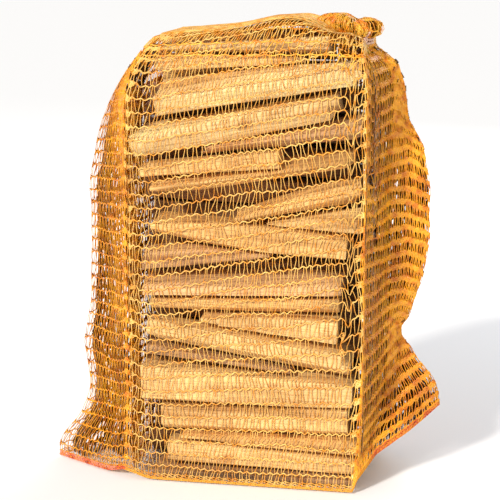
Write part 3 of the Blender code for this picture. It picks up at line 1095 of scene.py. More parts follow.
@dataclass
class LooseNet:
    """Surfaces of the net that lie inside or under the sack. Sizes are millimetres."""

    form: SackForm
    under_levels: int = 25
    under_sag: float = 2.2
    under_gap: float = 0.7
    fold_start: int = 3
    left_fold_reach: int = 27
    right_fold_reach: int = 36
    fold_depth: float = 9.0
    fold_room: float = 2.5
    fold_waves: tuple = (0.55, 0.13)
    fold_growth: float = 6.0
    fold_lift: float = 4.0
    crown_overlap: tuple = (4, 2)
    crown_depth: float = 5.5
    crown_waves: tuple = (0.45, 5.0)
    crown_closing: float = 1.2
    crown_lift: float = 6.5
    # routes of the spare net: the left one in plan, the right one as height,
    # place of the sticks' ends and how far back it reaches
    left_route: tuple = ((-112.4, -70.0), (-112.6, 0.0), (-112.4, 66.0), (-108.0, 72.6), (-84.0, 72.8))
    left_heights: tuple = (4.0, 384.0)
    left_points: tuple = (55, 84)
    left_ripple: float = 0.9
    left_ripple_length: float = 9.0
    left_end_back: float = 66.0
    left_fade: float = 12.0
    left_lift: float = 2.0
    right_route: tuple = (
        (34.0, 114.6, 72.4), (60.0, 115.7, 72.8), (384.0, 115.7, 72.8), (421.0, 108.5, 70.0),
        (433.0, 84.0, 60.0),
    )
    right_front: float = -66.0
    right_back_end: float = 74.0
    right_end_share: float = 0.74
    right_points: tuple = (57, 100)
    right_ripple: float = 0.8
    right_ripples: float = 21.0
    right_lift: float = 3.0
    ripple_sway: float = 0.6
    ripple_height: float = 37.0

    def swayed(self, up: np.ndarray) -> np.ndarray:
        """How far the ripples of the spare net shift to and fro on their way up.

        Args:
            up: Heights.

        Returns:
            Angles.
        """
        return self.ripple_sway * np.sin(up / self.ripple_height)

    def open_surface(self, points: np.ndarray, lift: float) -> "NetSurface":
        """Measure a surface that doesn't close round the sack.

        Args:
            points: The surface by column and level.
            lift: How far its rows are lifted.

        Returns:
            The measured surface.
        """
        return NetSurface.measured(points, np.full(len(points), lift), self.form, closed=False)

    def underside(self, points: np.ndarray) -> "NetSurface":
        """The net under the wood, from the front hem to the back wall.

        Args:
            points: The draped surface by column and level.

        Returns:
            The underside, open at both ears.
        """
        half = len(points) // 2
        share = np.linspace(0.0, 1.0, self.under_levels)[None, :, None]
        front = points[np.arange(half + 1), 0][:, None, :]
        back = points[-np.arange(half + 1) % len(points), 0][:, None, :]
        under = front * (1.0 - share) + back * share
        sag = self.under_sag * np.sin(np.pi * share[..., 0])
        under[:, :, 2] = np.maximum(under[:, :, 2] - sag, self.under_gap)
        return self.open_surface(under, 0.0)

    def inner_fold(self, points: np.ndarray, apex: int, reach: int) -> "NetSurface":
        """A loose fold of net between the two layers of a wing.

        Args:
            points: The draped surface by column and level.
            apex: The wing's outermost column.
            reach: How many columns the fold runs inwards.

        Returns:
            The fold, open at both ends.
        """
        step = np.arange(self.fold_start, reach)
        one = points[(apex + step) % len(points), :self.form.wall_levels]
        other = points[(apex - step) % len(points), :self.form.wall_levels]
        fold = (one + other) / 2.0
        level = np.arange(fold.shape[1])[None, :]
        along_wave, up_wave = self.fold_waves
        growth = np.minimum(step[:, None] / self.fold_growth, 1.0)
        ripple = np.sin(step[:, None] * along_wave + level * up_wave) * growth
        room = np.maximum(np.abs(one[:, :, 1] - other[:, :, 1]) / 2.0 - self.fold_room, 0.0)
        fold[:, :, 1] += np.clip(ripple * self.fold_depth, -room, room)
        return self.open_surface(fold, self.fold_lift)

    def crown_fold(self, points: np.ndarray) -> "NetSurface":
        """The gathers' second layer, just under the top, where the net doubles on itself.

        Args:
            points: The draped surface by column and level.

        Returns:
            The layer, closed round the sack.
        """
        wall, top = self.form.wall_levels, self.form.top_levels
        below, short = self.crown_overlap
        fold = points[::2, wall - below:wall + top - short].copy()
        part = np.linspace(0.0, 1.0, fold.shape[1])[None, :]
        column = np.arange(len(fold))[:, None]
        around_wave, up_wave = self.crown_waves
        depth = self.crown_depth + np.sin(column * around_wave + part * up_wave)
        fold[:, :, 2] -= depth * np.sin(np.pi * np.minimum(part * self.crown_closing, 1.0))
        return NetSurface.measured(fold, np.full(len(fold), self.crown_lift), self.form)

    def left_tuck(self) -> "NetSurface":
        """Spare net tucked in over the sticks' left ends and round their back corner.

        Returns:
            The spare net, open at both ends.
        """
        columns, levels = self.left_points
        mark, (along, across) = evenly_along(self.left_route, columns)
        up = np.linspace(*self.left_heights, levels)[None, :]
        along, across, mark = along[:, None], across[:, None], mark[:, None]
        ripple = self.left_ripple * np.sin(mark / self.left_ripple_length + self.swayed(up))
        over_ends = smooth_ramp((self.left_end_back - across) / self.left_fade)
        sheet = np.stack(np.broadcast_arrays(along + ripple * over_ends, across, up), axis=-1)
        return self.open_surface(sheet[::-1], self.left_lift)

    def right_tuck(self) -> "NetSurface":
        """Spare net over the sticks' right ends, folded in under the top.

        Returns:
            The spare net, open at both ends.
        """
        columns, levels = self.right_points
        _, (up, end, back) = evenly_along(self.right_route, levels)
        share = np.linspace(0.0, 1.0, columns)[:, None]
        side = np.minimum(share / self.right_end_share, 1.0)
        behind = np.maximum((share - self.right_end_share) / (1.0 - self.right_end_share), 0.0)
        ripple = self.right_ripple * np.sin(share * self.right_ripples + self.swayed(up)) * (behind <= 0.0)
        along = end + ripple - (end - self.right_back_end) * behind
        across = self.right_front + (back - self.right_front) * side
        sheet = np.stack(np.broadcast_arrays(along, across, up), axis=-1)
        return self.open_surface(sheet, self.right_lift)


@dataclass
class NetSurface:
    """The draped surface, read by stitch and by length from the hem."""

    grid: np.ndarray
    lengths: np.ndarray
    shoulder_at: np.ndarray
    neck_at: np.ndarray
    lift: np.ndarray
    step: float
    per_stitch: int
    row_height: float
    closed: bool = True
    # rows over which the lift grows; width of a stretched stitch, and how much
    # narrower a slack one is; how far the right ear reaches in stitches and rows
    lift_rows: float = 14.0
    wide_stitch: float = 7.2
    narrowing: float = 2.4
    ear_stitches: tuple = (15.0, 5.0)
    ear_rows: tuple = (9.0, 3.0)
    ear_slack: float = 0.85

    @classmethod
    def measured(
        cls, points: np.ndarray, lift: np.ndarray, form: SackForm, closed: bool = True,
    ) -> "NetSurface":
        """Space each column's points evenly by length.

        Args:
            points: The surface by column and level.
            lift: How far each column's rows are lifted.
            form: The sack's form.
            closed: Whether it closes round the sack.

        Returns:
            The surface in even steps.
        """
        step = form.row_height / form.steps_per_row
        runs = np.linalg.norm(np.diff(points, axis=1), axis=2)
        lengths = np.concatenate([np.zeros((len(points), 1)), np.cumsum(runs, axis=1)], axis=1)
        count = int(lengths[:, -1].max() / step) + 2
        marks = np.arange(count) * step
        grid = np.empty((len(points), count, 3))
        for column in range(len(points)):
            for axis in range(3):
                grid[column, :, axis] = np.interp(marks, lengths[column], points[column, :, axis])
        last = lengths.shape[1]
        shoulder_at = lengths[:, min(form.wall_levels, last) - 1]
        neck_at = lengths[:, min(form.wall_levels + form.top_levels, last) - 1]
        return cls(
            grid, lengths[:, -1], shoulder_at, neck_at, lift, step, form.per_stitch, form.row_height,
            closed,
        )

    def columns_of(self, stitch: np.ndarray) -> tuple:
        """Find the grid columns on both sides of a stitch.

        Args:
            stitch: Stitch round the sack, from the left edge round the front.

        Returns:
            The near column, the far column, and the stitch's share between them.
        """
        column = stitch * self.per_stitch
        count = self.grid.shape[0]
        if not self.closed:
            column = np.clip(column, 0.0, count - 1.001)
        low = np.floor(column).astype(int)
        return low % count, (low + 1) % count, column - low

    def read(self, table: np.ndarray, stitch: np.ndarray) -> np.ndarray:
        """Read a value of each column at any stitch.

        Args:
            table: The value of each column.
            stitch: Stitch round the sack.

        Returns:
            The values there.
        """
        near, far, share = self.columns_of(stitch)
        return table[near] * (1.0 - share) + table[far] * share

    def length_at(self, stitch: np.ndarray, row: np.ndarray) -> np.ndarray:
        """Length from the hem at which a row lies.

        Args:
            stitch: Stitch round the sack, from the left edge round the front.
            row: Row up from the hem.

        Returns:
            Lengths in millimetres.
        """
        return row * self.row_height + self.read(self.lift, stitch) * smooth_ramp(row / self.lift_rows)

    def point(self, stitch: np.ndarray, row: np.ndarray) -> np.ndarray:
        """Place on the surface.

        Args:
            stitch: Stitch round the sack, from the left edge round the front.
            row: Row up from the hem.

        Returns:
            Points in millimetres.
        """
        mark = np.clip(self.length_at(stitch, row) / self.step, 0.0, self.grid.shape[1] - 1.001)
        low_mark = np.floor(mark).astype(int)
        near, far, share = self.columns_of(stitch)
        u = share[..., None]
        v = (mark - low_mark)[..., None]
        low = self.grid[near, low_mark] * (1.0 - u) + self.grid[far, low_mark] * u
        high = self.grid[near, low_mark + 1] * (1.0 - u) + self.grid[far, low_mark + 1] * u
        return low * (1.0 - v) + high * v

    def normal(self, stitch: np.ndarray, row: np.ndarray) -> np.ndarray:
        """Direction out of the sack at a place on the surface.

        Args:
            stitch: Stitch round the sack, from the left edge round the front.
            row: Row up from the hem.

        Returns:
            Directions of length 1.
        """
        around = self.point(stitch + 0.6, row) - self.point(stitch - 0.6, row)
        upward = self.point(stitch, row + 0.25) - self.point(stitch, row - 0.25)
        normal = np.cross(around, upward)
        return normal / np.maximum(np.linalg.norm(normal, axis=-1, keepdims=True), 1e-6)

    def slack(self, stitch: np.ndarray, row: np.ndarray) -> np.ndarray:
        """How slack the net is there.

        Args:
            stitch: Stitch round the sack, from the left edge round the front.
            row: Row up from the hem.

        Returns:
            0 where it is stretched wide, to 1 where it hangs loose.
        """
        width = np.linalg.norm(self.point(stitch + 0.5, row) - self.point(stitch - 0.5, row), axis=-1)
        slack = smooth_ramp((self.wide_stitch - width) / self.narrowing)
        if not self.closed:
            return slack
        from_right_edge = np.abs(stitch - self.girth() / 2.0)
        reach, reach_fade = self.ear_stitches
        rows, rows_fade = self.ear_rows
        ear = smooth_ramp((reach - from_right_edge) / reach_fade) * smooth_ramp((rows - row) / rows_fade)
        return np.maximum(slack, self.ear_slack * ear)

    def girth(self) -> float:
        """How many stitches the surface has across it.

        Returns:
            Their number.
        """
        return self.grid.shape[0] / self.per_stitch


class NetZone(Enum):
    """Which stretch of a surface's columns a piece of net covers."""

    WALL = "up to the shoulder"
    TOP = "from the shoulder to the neck"
    RUFFLE = "from the neck to the ruffle's rim"
    WHOLE = "all of it"


class NetTone(Enum):
    """Copies of the net's one orange plastic, each painted lighter or darker for the light or shade where
    it is used, as light and deep colour.
    """

    # painted sunlight: a paler, creamier copy for the lit front, back, top and underside
    FACE = ((0.95, 0.58, 0.15), (0.84, 0.34, 0.02))
    # painted shade: a deeper orange copy for the wings and the left tuck
    WING = ((1.0, 0.43, 0.012), (0.72, 0.21, 0.002))
    # painted light: a brighter copy that lifts the ruffle and the crown fold out of their own shade
    GATHER = ((1.0, 0.56, 0.05), (0.92, 0.27, 0.003))
    # painted shade: a dark brown-orange copy for net layers inside the wings and over the right ends
    TUCKED = ((0.26, 0.10, 0.008), (0.085, 0.035, 0.004))


@dataclass(frozen=True)
class NetPanel:
    """One piece of the net: its stitches, its zone and its tone.

    It also says how many points a chain has for each stitch and a tape for each
    row, whether slack chains have extra strands, and how much wider strands are.
    """

    name: str
    first: int
    last: int
    zone: NetZone
    tone: NetTone
    chain_points: int = 4
    upright_points: int = 3
    doubled: bool = True
    widening: float = 1.0


# Panels of the sack itself, from its left edge round the front and back again
WALL_PANELS = (
    NetPanel("net_left_wing_front", 0, 14, NetZone.WALL, NetTone.WING),
    NetPanel("net_front", 14, 45, NetZone.WALL, NetTone.FACE, 5, 4),
    NetPanel("net_right_wing_front", 45, 66, NetZone.WALL, NetTone.WING),
    NetPanel("net_right_wing_back", 66, 87, NetZone.WALL, NetTone.WING),
    NetPanel("net_back", 87, 118, NetZone.WALL, NetTone.FACE),
    NetPanel("net_left_wing_back", 118, 132, NetZone.WALL, NetTone.WING),
    NetPanel("net_top_front", 0, 66, NetZone.TOP, NetTone.FACE),
    NetPanel("net_top_back", 66, 132, NetZone.TOP, NetTone.FACE),
    NetPanel("net_ruffle", 0, 132, NetZone.RUFFLE, NetTone.GATHER),
)
# Panels of the surfaces inside and under the sack
LOOSE_PANELS = {
    "underside": (NetPanel("net_underside", 0, 66, NetZone.WHOLE, NetTone.FACE, 3, 2, False),),
    # the two folds and the right tuck's first panel are net layers in the dark painted-shade copy, painting
    # the shade inside the wings and over the sticks' right ends
    "left_fold": (NetPanel("net_left_fold", 0, 11, NetZone.WHOLE, NetTone.TUCKED, 3, 2, False, 3.6),),
    "right_fold": (NetPanel("net_right_fold", 0, 16, NetZone.WHOLE, NetTone.TUCKED, 3, 2, False, 3.3),),
    "left_tuck": (NetPanel("net_left_tuck", 0, 27, NetZone.WHOLE, NetTone.WING, 3, 2, False, 1.9),),
    "right_tuck": (
        NetPanel("net_right_tuck", 0, 21, NetZone.WHOLE, NetTone.TUCKED, 3, 2, False, 3.0),
        NetPanel("net_right_tuck_back", 21, 28, NetZone.WHOLE, NetTone.FACE, 3, 2, False, 1.9),
    ),
    "crown_fold": (NetPanel("net_crown_fold", 0, 66, NetZone.WHOLE, NetTone.GATHER, 3, 2, False),),
}


@dataclass(frozen=True)
class NetPlastic:
    """Finish of the net's drawn plastic tape: orange-yellow, thin and glossy, in a tone that paints light
    or shade.
    """

    tone: NetTone
    tint_scale: float = 140.0
    patch_scale: float = 16.0
    patch_colours: tuple = ((0.38, (0.82, 0.72, 0.6)), (0.6, WHITE))
    drawn_scale: float = 2400.0
    drawn_stretch: tuple = (1.0, 1.0, 0.3)
    drawn_bump: tuple = (0.0002, 0.5)
    roughness: float = 0.32
    specular: float = 0.6

    def build(self) -> bpy.types.Material:
        """Make the material.

        Returns:
            The plastic in this tone.
        """
        board = NodeBoard(f"net_plastic_{self.tone.name.lower()}")
        light, deep = self.tone.value
        place = board.add("TexCoord").outputs["Object"]
        # random patches between the tone's deep and light colour, which carry its painted light or shade
        base = board.ramp(board.cloud(place, self.tint_scale, 4.0), ((0.36, deep), (0.56, light)))
        worn = board.ramp(board.cloud(place, self.patch_scale, 2.0), self.patch_colours)
        board.join(board.multiplied(1.0, base, worn), board.shader.inputs["Base Color"])
        board.shader.inputs["Roughness"].default_value = self.roughness
        board.shader.inputs["Specular IOR Level"].default_value = self.specular
        drawn = board.cloud(board.stretched(place, self.drawn_stretch), self.drawn_scale, 1.0)
        board.bump(drawn, *self.drawn_bump)
        return board.material


@dataclass
class KnittedNet:
    """The net itself: rows of looped chain joined by zigzag tapes, in real strands.

    Widths are millimetres; waves, leans and reaches are shares of a stitch or a row.
    """

    surface: NetSurface
    finishes: dict
    tape_width: float = 0.88
    tape_height: float = 0.42
    stand_off: float = 0.1
    chain_width: float = 1.0
    chain_widening: float = 1.0
    tape_widening: float = 0.35
    lean: float = 0.2
    tight_wave: float = 0.07
    slack_wave: float = 0.225
    hem_rows: tuple = (0.02, 0.14, 0.27, 0.4)
    rim_rows: tuple = (0.06, 0.2, 0.36)
    slack_bend: float = 0.12
    chain_split: float = 0.03
    doubled_from: float = 0.3
    doubled_wave: tuple = (0.6, 0.3)
    middle_wave: float = 0.04
    hem_wave: float = 0.05
    rim_wave: float = 0.04
    tape_gap: float = 0.03
    tape_bow: float = 0.05
    tape_twist: float = 0.5
    twist_rise: float = 0.6
    # layers of unevenness: size, waves per stitch and per row, and seed
    across_layers: tuple = ((0.24, 0.8, 0.9, 11), (0.8, 1.0 / 9.0, 0.2, 17))
    upward_layers: tuple = ((0.07, 0.7, 1.1, 23), (0.22, 1.0 / 7.0, 1.0 / 3.0, 29))
    lean_layers: tuple = ((0.22, 0.37, 0.61, 53), (0.10, 3.1, 2.3, 59))
    hem_fade: float = 2.0
    edge_fade: float = 5.0
    first_top_row: int = 22

    def wander(self, stitch: np.ndarray, row: np.ndarray) -> tuple:
        """Shift places on the net a little, as hand-filled nets never hang evenly.

        The shift fades out at the left edge, where the last stitch meets the first.

        Args:
            stitch: Stitch round the sack, from the left edge round the front.
            row: Row up from the hem.

        Returns:
            The shifted stitch and row.
        """
        across = layered_noise(stitch, row, self.across_layers)
        upward = layered_noise(stitch, row, self.upward_layers)
        if self.surface.closed:
            from_edge = np.minimum(stitch, self.surface.girth() - stitch)
            inside = smooth_ramp(from_edge / self.edge_fade)
            across, upward = across * inside, upward * inside
        return stitch + across, row + upward * smooth_ramp(row / self.hem_fade)

    def laid(self, stitch: np.ndarray, row: np.ndarray) -> tuple:
        """Lay strand places on the surface.

        Args:
            stitch: Stitch round the sack, from the left edge round the front.
            row: Row up from the hem.

        Returns:
            Points, and directions out of the sack.
        """
        moved_stitch, moved_row = self.wander(stitch, row)
        points = self.surface.point(moved_stitch, moved_row)
        return points, self.surface.normal(moved_stitch, moved_row)

    def chain_lines(self, panel: NetPanel, rows: np.ndarray) -> list:
        """Strands of the looped chains, doubled where the net hangs slack.

        Args:
            panel: Which panel.
            rows: The rows to make.

        Returns:
            Stitch, row and whether it is kept, for the places on each strand.
        """
        stitch, row = np.meshgrid(self.places(panel), rows)
        slack = self.surface.slack(stitch, row)
        loop = np.cos(2.0 * np.pi * stitch)
        cross = np.sin(2.0 * np.pi * stitch)
        bend = self.slack_bend * np.sin(4.0 * np.pi * stitch) * slack
        tight = self.tight_wave * loop
        upper = tight * (1.0 - slack) + self.slack_wave * loop * slack
        lower = (tight - self.chain_split) * (1.0 - slack) - self.slack_wave * loop * slack
        always = np.ones_like(stitch, dtype=bool)
        loose = slack > self.doubled_from
        lines = [(stitch + bend, row + upper, always), (stitch - bend, row + lower, always)]
        if panel.doubled:
            level, swing = self.doubled_wave
            spread = self.slack_wave * (level + swing * cross)
            lines += [
                (stitch, row + spread, loose),
                (stitch, row - spread, loose),
                (stitch, row + self.middle_wave * cross, loose),
            ]
        return lines

    def places(self, panel: NetPanel) -> np.ndarray:
        """Stitches at which a panel's chains have their points.

        Args:
            panel: Which panel.

        Returns:
            The stitches, with both ends.
        """
        steps = (panel.last - panel.first) * panel.chain_points
        return panel.first + np.arange(steps + 1) / panel.chain_points

    def hem_lines(self, panel: NetPanel) -> list:
        """Bunched strands in the doubled band along the bottom hem.

        Args:
            panel: Which panel.

        Returns:
            Stitch, row and whether it is kept, for the places on each strand.
        """
        stitch, row = np.meshgrid(self.places(panel), np.array(self.hem_rows))
        wave = self.hem_wave * np.cos(2.0 * np.pi * stitch + row * 40.0)
        return [(stitch, row + wave, np.ones_like(stitch, dtype=bool))]

    def rim_lines(self, panel: NetPanel) -> list:
        """Strands along the ruffle's rim.

        Args:
            panel: Which panel.

        Returns:
            Stitch, row and whether it is kept, for the places on each strand.
        """
        stitch, below = np.meshgrid(self.places(panel), np.array(self.rim_rows))
        end = self.surface.read(self.surface.lengths, stitch) - self.surface.read(self.surface.lift, stitch)
        wave = self.rim_wave * np.cos(2.0 * np.pi * stitch + below * 30.0)
        row = end / self.surface.row_height - below + wave
        return [(stitch, row, np.ones_like(stitch, dtype=bool))]

    def upright_lines(self, panel: NetPanel, rows: np.ndarray) -> list:
        """Tapes between the chains, two for each stitch, leaning by turns.

        Args:
            panel: Which panel.
            rows: The rows to make.

        Returns:
            Stitch, row and whether it is kept, for the places on each tape.
        """
        lines = []
        base = np.arange(panel.first, panel.last)
        part = np.linspace(0.0, 1.0, panel.upright_points)
        for offset, side in ((0.0, 1.0), (0.5, -1.0)):
            start, row = np.meshgrid(base + offset, rows)
            lean = side * self.lean + layered_noise(start, row, self.lean_layers)
            bow = self.tape_bow * side * np.sin(np.pi * part)
            stitch = start.reshape(-1, 1) + lean.reshape(-1, 1) * (part - 0.5) + bow
            height = row.reshape(-1, 1) + self.tape_gap + (1.0 - 2.0 * self.tape_gap) * part
            lines.append((stitch, height, np.ones_like(stitch, dtype=bool)))
        return lines

    def kept(self, stitch: np.ndarray, row: np.ndarray, zone: NetZone) -> np.ndarray:
        """Which places lie in a zone of the surface.

        Args:
            stitch: Stitch round the sack, from the left edge round the front.
            row: Row up from the hem.
            zone: The zone.

        Returns:
            True for those places.
        """
        length = self.surface.length_at(stitch, row)
        shoulder = self.surface.read(self.surface.shoulder_at, stitch)
        end = self.surface.read(self.surface.lengths, stitch)
        neck = self.surface.read(self.surface.neck_at, stitch)
        if zone is NetZone.TOP:
            return (length >= shoulder) & (length <= neck)
        if zone is NetZone.RUFFLE:
            return (length >= neck) & (length <= end)
        if zone is NetZone.WALL:
            return length <= shoulder
        return (length <= end) & (row > 0.0)

    def build(self, panels: tuple) -> None:
        """Build each panel of the net.

        Args:
            panels: The panels.
        """
        for panel in panels:
            self.build_panel(panel)

    def build_panel(self, panel: NetPanel) -> bpy.types.Object:
        """Build one panel of the net.

        Args:
            panel: Which panel.

        Returns:
            The finished piece.
        """
        low = self.first_top_row if panel.zone in (NetZone.TOP, NetZone.RUFFLE) else 0
        high = int(self.surface.lengths.max() / self.surface.row_height) + 2
        rows = np.arange(low, high, dtype=float)
        chains = self.chain_lines(panel, rows)
        if panel.zone is NetZone.WALL:
            chains += self.hem_lines(panel)
        if panel.zone is NetZone.RUFFLE:
            chains += self.rim_lines(panel)
        batches = []
        for lines, width, widening in (
            (chains, self.chain_width, self.chain_widening),
            (self.upright_lines(panel, rows), self.tape_width, self.tape_widening),
        ):
            width *= panel.widening
            batches += [self.tape_mesh(line, width, panel.zone, widening) for line in lines]
        mesh = self.joined(panel.name, batches)
        mesh.materials.append(self.finishes[panel.tone])
        mesh.shade_smooth()
        piece = link_piece(panel.name, mesh)
        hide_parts("net_sack")
        return piece

    def tape_mesh(self, line: tuple, width: float, zone: NetZone, widening: float = 0.0) -> tuple:
        """Points and faces of many tapes with the same number of places along them.

        Args:
            line: Stitch, row and whether it is kept, of each place on each tape.
            width: Width of the tape in millimetres.
            zone: The zone of the surface that the tapes are kept in.
            widening: By which share it is wider where the net is slack.

        Returns:
            An array of points and an array of faces.
        """
        stitch, row, wanted = line
        centres, normals = self.laid(stitch, row)
        tangents = np.gradient(centres, axis=1)
        sides = np.cross(normals, tangents)
        sides /= np.maximum(np.linalg.norm(sides, axis=-1, keepdims=True), 1e-6)
        twist = self.tape_twist * lattice_noise(stitch * 1.7 + row, row * 3.1, 41)[..., None]
        leaned = sides * np.cos(twist) + normals * np.sin(twist) * self.twist_rise
        base = centres + normals * self.stand_off
        half = width / 2.0 * (1.0 + widening * self.surface.slack(stitch, row))[..., None]
        ring = np.stack([
            base - leaned * half,
            base + leaned * half,
            base + normals * self.tape_height,
        ], axis=2)
        lines, places = stitch.shape
        use = self.kept(stitch, row, zone) & wanted
        joined = use[:, 1:] & use[:, :-1]
        number = np.arange(lines * places * 3).reshape(lines, places, 3)
        faces = []
        for one, other in ((0, 1), (1, 2), (2, 0)):
            quad = np.stack([
                number[:, :-1, one], number[:, :-1, other], number[:, 1:, other], number[:, 1:, one],
            ], axis=-1)
            faces.append(quad[joined])
        return ring.reshape(-1, 3), np.concatenate(faces, axis=0)

    def joined(self, name: str, batches: list) -> bpy.types.Mesh:
        """Join batches of tapes in one mesh and close their open ends.

        Args:
            name: The mesh's name.
            batches: Arrays of points and of faces.

        Returns:
            The mesh, in metres.
        """
        points, faces, start = [], [], 0
        for batch_points, batch_faces in batches:
            if not len(batch_faces):
                continue
            used, fresh = np.unique(batch_faces, return_inverse=True)
            points.append(batch_points[used])
            faces.append(fresh.reshape(batch_faces.shape) + start)
            start += len(used)
        all_points = np.concatenate(points) * MM
        all_faces = np.concatenate(faces)
        mesh = bpy.data.meshes.new(name)
        mesh.from_pydata(all_points.tolist(), [], all_faces.tolist())
        solid = bmesh.new()
        solid.from_mesh(mesh)
        rims = [edge for edge in solid.edges if edge.is_boundary]
        bmesh.ops.holes_fill(solid, edges=rims, sides=3)
        bmesh.ops.recalc_face_normals(solid, faces=solid.faces)
        solid.to_mesh(mesh)
        solid.free()
        return mesh


@dataclass(frozen=True)
class SeamThread:
    """Finish of the overlock thread: red on the left ear, in patches on the right one."""

    half_width: float = 0.2
    redness: tuple = (
        (0.18, (0.5, 0.5, 0.5)), (0.23, (0.0, 0.0, 0.0)),
        (0.77, (0.0, 0.0, 0.0)), (0.82, (0.24, 0.24, 0.24)),
    )
    # orange to deep red thread; the last, pinkish stop paints highlights where the redness peaks
    thread_colours: tuple = (
        (0.66, (0.95, 0.45, 0.04)), (0.78, (0.86, 0.20, 0.05)),
        (0.9, (0.62, 0.05, 0.03)), (1.0, (0.90, 0.30, 0.20)),
    )
    tint_scale: float = 90.0
    spun_scale: float = 3000.0
    spun_bump: tuple = (0.0002, 0.6)
    roughness: float = 0.7

    def build(self) -> bpy.types.Material:
        """Make the material.

        Returns:
            The thread's finish.
        """
        board = NodeBoard("seam_thread")
        place = board.add("TexCoord").outputs["Object"]
        tint = board.cloud(place, self.tint_scale, 5.0)
        split = board.add("SeparateXYZ")
        board.join(place, split.inputs[0])
        spread = board.add("MapRange")
        spread.inputs["From Min"].default_value = -self.half_width
        spread.inputs["From Max"].default_value = self.half_width
        board.join(split.outputs["X"], spread.inputs["Value"])
        by_side = board.ramp(spread.outputs["Result"], self.redness)
        redness = board.add("Math", operation="ADD")
        board.join(tint, redness.inputs[0])
        board.join(by_side, redness.inputs[1])
        colour = board.ramp(redness.outputs[0], self.thread_colours)
        board.join(colour, board.shader.inputs["Base Color"])
        board.shader.inputs["Roughness"].default_value = self.roughness
        board.bump(board.cloud(place, self.spun_scale, 2.0), *self.spun_bump)
        return board.material


@dataclass
class HemSeam(KnittedNet):
    """Overlock stitching that closes the bottom hem, from ear to ear."""

    tape_height: float = 0.75
    stand_off: float = 0.45
    thread_width: float = 0.9
    legs_per_stitch: float = 1.8
    ear_reach: float = 0.36
    middle_reach: float = 0.12
    last_stitch: float = 66.0
    left_ear_end: float = 18.0
    right_ear_start: float = 40.0
    ear_blend: float = 12.0
    uneven: float = 0.12
    leg_points: int = 4
    lock_wave: float = 0.02

    def reach(self, stitch: np.ndarray) -> np.ndarray:
        """How high the overlock reaches: high on the ears, low in the middle.

        Args:
            stitch: Stitch along the hem, from the left edge.

        Returns:
            Reach in rows.
        """
        into_left = smooth_ramp((self.left_ear_end - stitch) / self.ear_blend)
        into_right = smooth_ramp((stitch - self.right_ear_start) / self.ear_blend)
        into_ear = np.maximum(into_left, into_right)
        return self.middle_reach + (self.ear_reach - self.middle_reach) * into_ear

    def build_seam(self, material: bpy.types.Material) -> bpy.types.Object:
        """Lay the zigzag legs and the two straight threads that lock them.

        Args:
            material: The thread's finish.

        Returns:
            The finished seam.
        """
        count = int(self.last_stitch * self.legs_per_stitch)
        foot = np.arange(count) / self.legs_per_stitch
        step = 1.0 / self.legs_per_stitch
        part = np.linspace(0.0, 1.0, self.leg_points)
        jitter = lattice_noise(foot * 5.1, foot * 0.0, 71)
        top = self.reach(foot) * (1.0 + self.uneven * jitter)
        rising = (foot[:, None] + step * 0.5 * part, top[:, None] * part)
        falling = (foot[:, None] + step * (0.5 + 0.5 * part), top[:, None] * (1.0 - part))
        along = np.linspace(0.0, self.last_stitch, count * 2)[None, :]
        wave = self.lock_wave * np.cos(along * 2.0 * np.pi * self.legs_per_stitch)
        lines = [rising, falling, (along, 0.0 * along), (along, self.reach(along) + wave)]
        batches = []
        for stitch, row in lines:
            always = np.ones_like(stitch, dtype=bool)
            batches.append(self.tape_mesh((stitch, row, always), self.thread_width, NetZone.WALL))
        mesh = self.joined("seam_overlock", batches)
        mesh.materials.append(material)
        mesh.shade_smooth()
        piece = link_piece("seam_overlock", mesh)
        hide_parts("seam_stitching")
        return piece


@dataclass(frozen=True)
class TieFibre:
    """Finish of the tie cord: pale spun fibre."""

    fuzz_scale: float = 900.0
    fuzz_colours: tuple = ((0.35, (0.50, 0.26, 0.16)), (0.6, (0.86, 0.60, 0.44)))
    fuzz_bump: tuple = (0.0004, 0.8)
    roughness: float = 0.85

    def build(self) -> bpy.types.Material:
        """Make the material.

        Returns:
            The cord's finish.
        """
        board = NodeBoard("tie_fibre")
        place = board.add("TexCoord").outputs["Object"]
        fuzz = board.cloud(place, self.fuzz_scale, 3.0)
        board.join(board.ramp(fuzz, self.fuzz_colours), board.shader.inputs["Base Color"])
        board.shader.inputs["Roughness"].default_value = self.roughness
        board.bump(fuzz, *self.fuzz_bump)
        return board.material


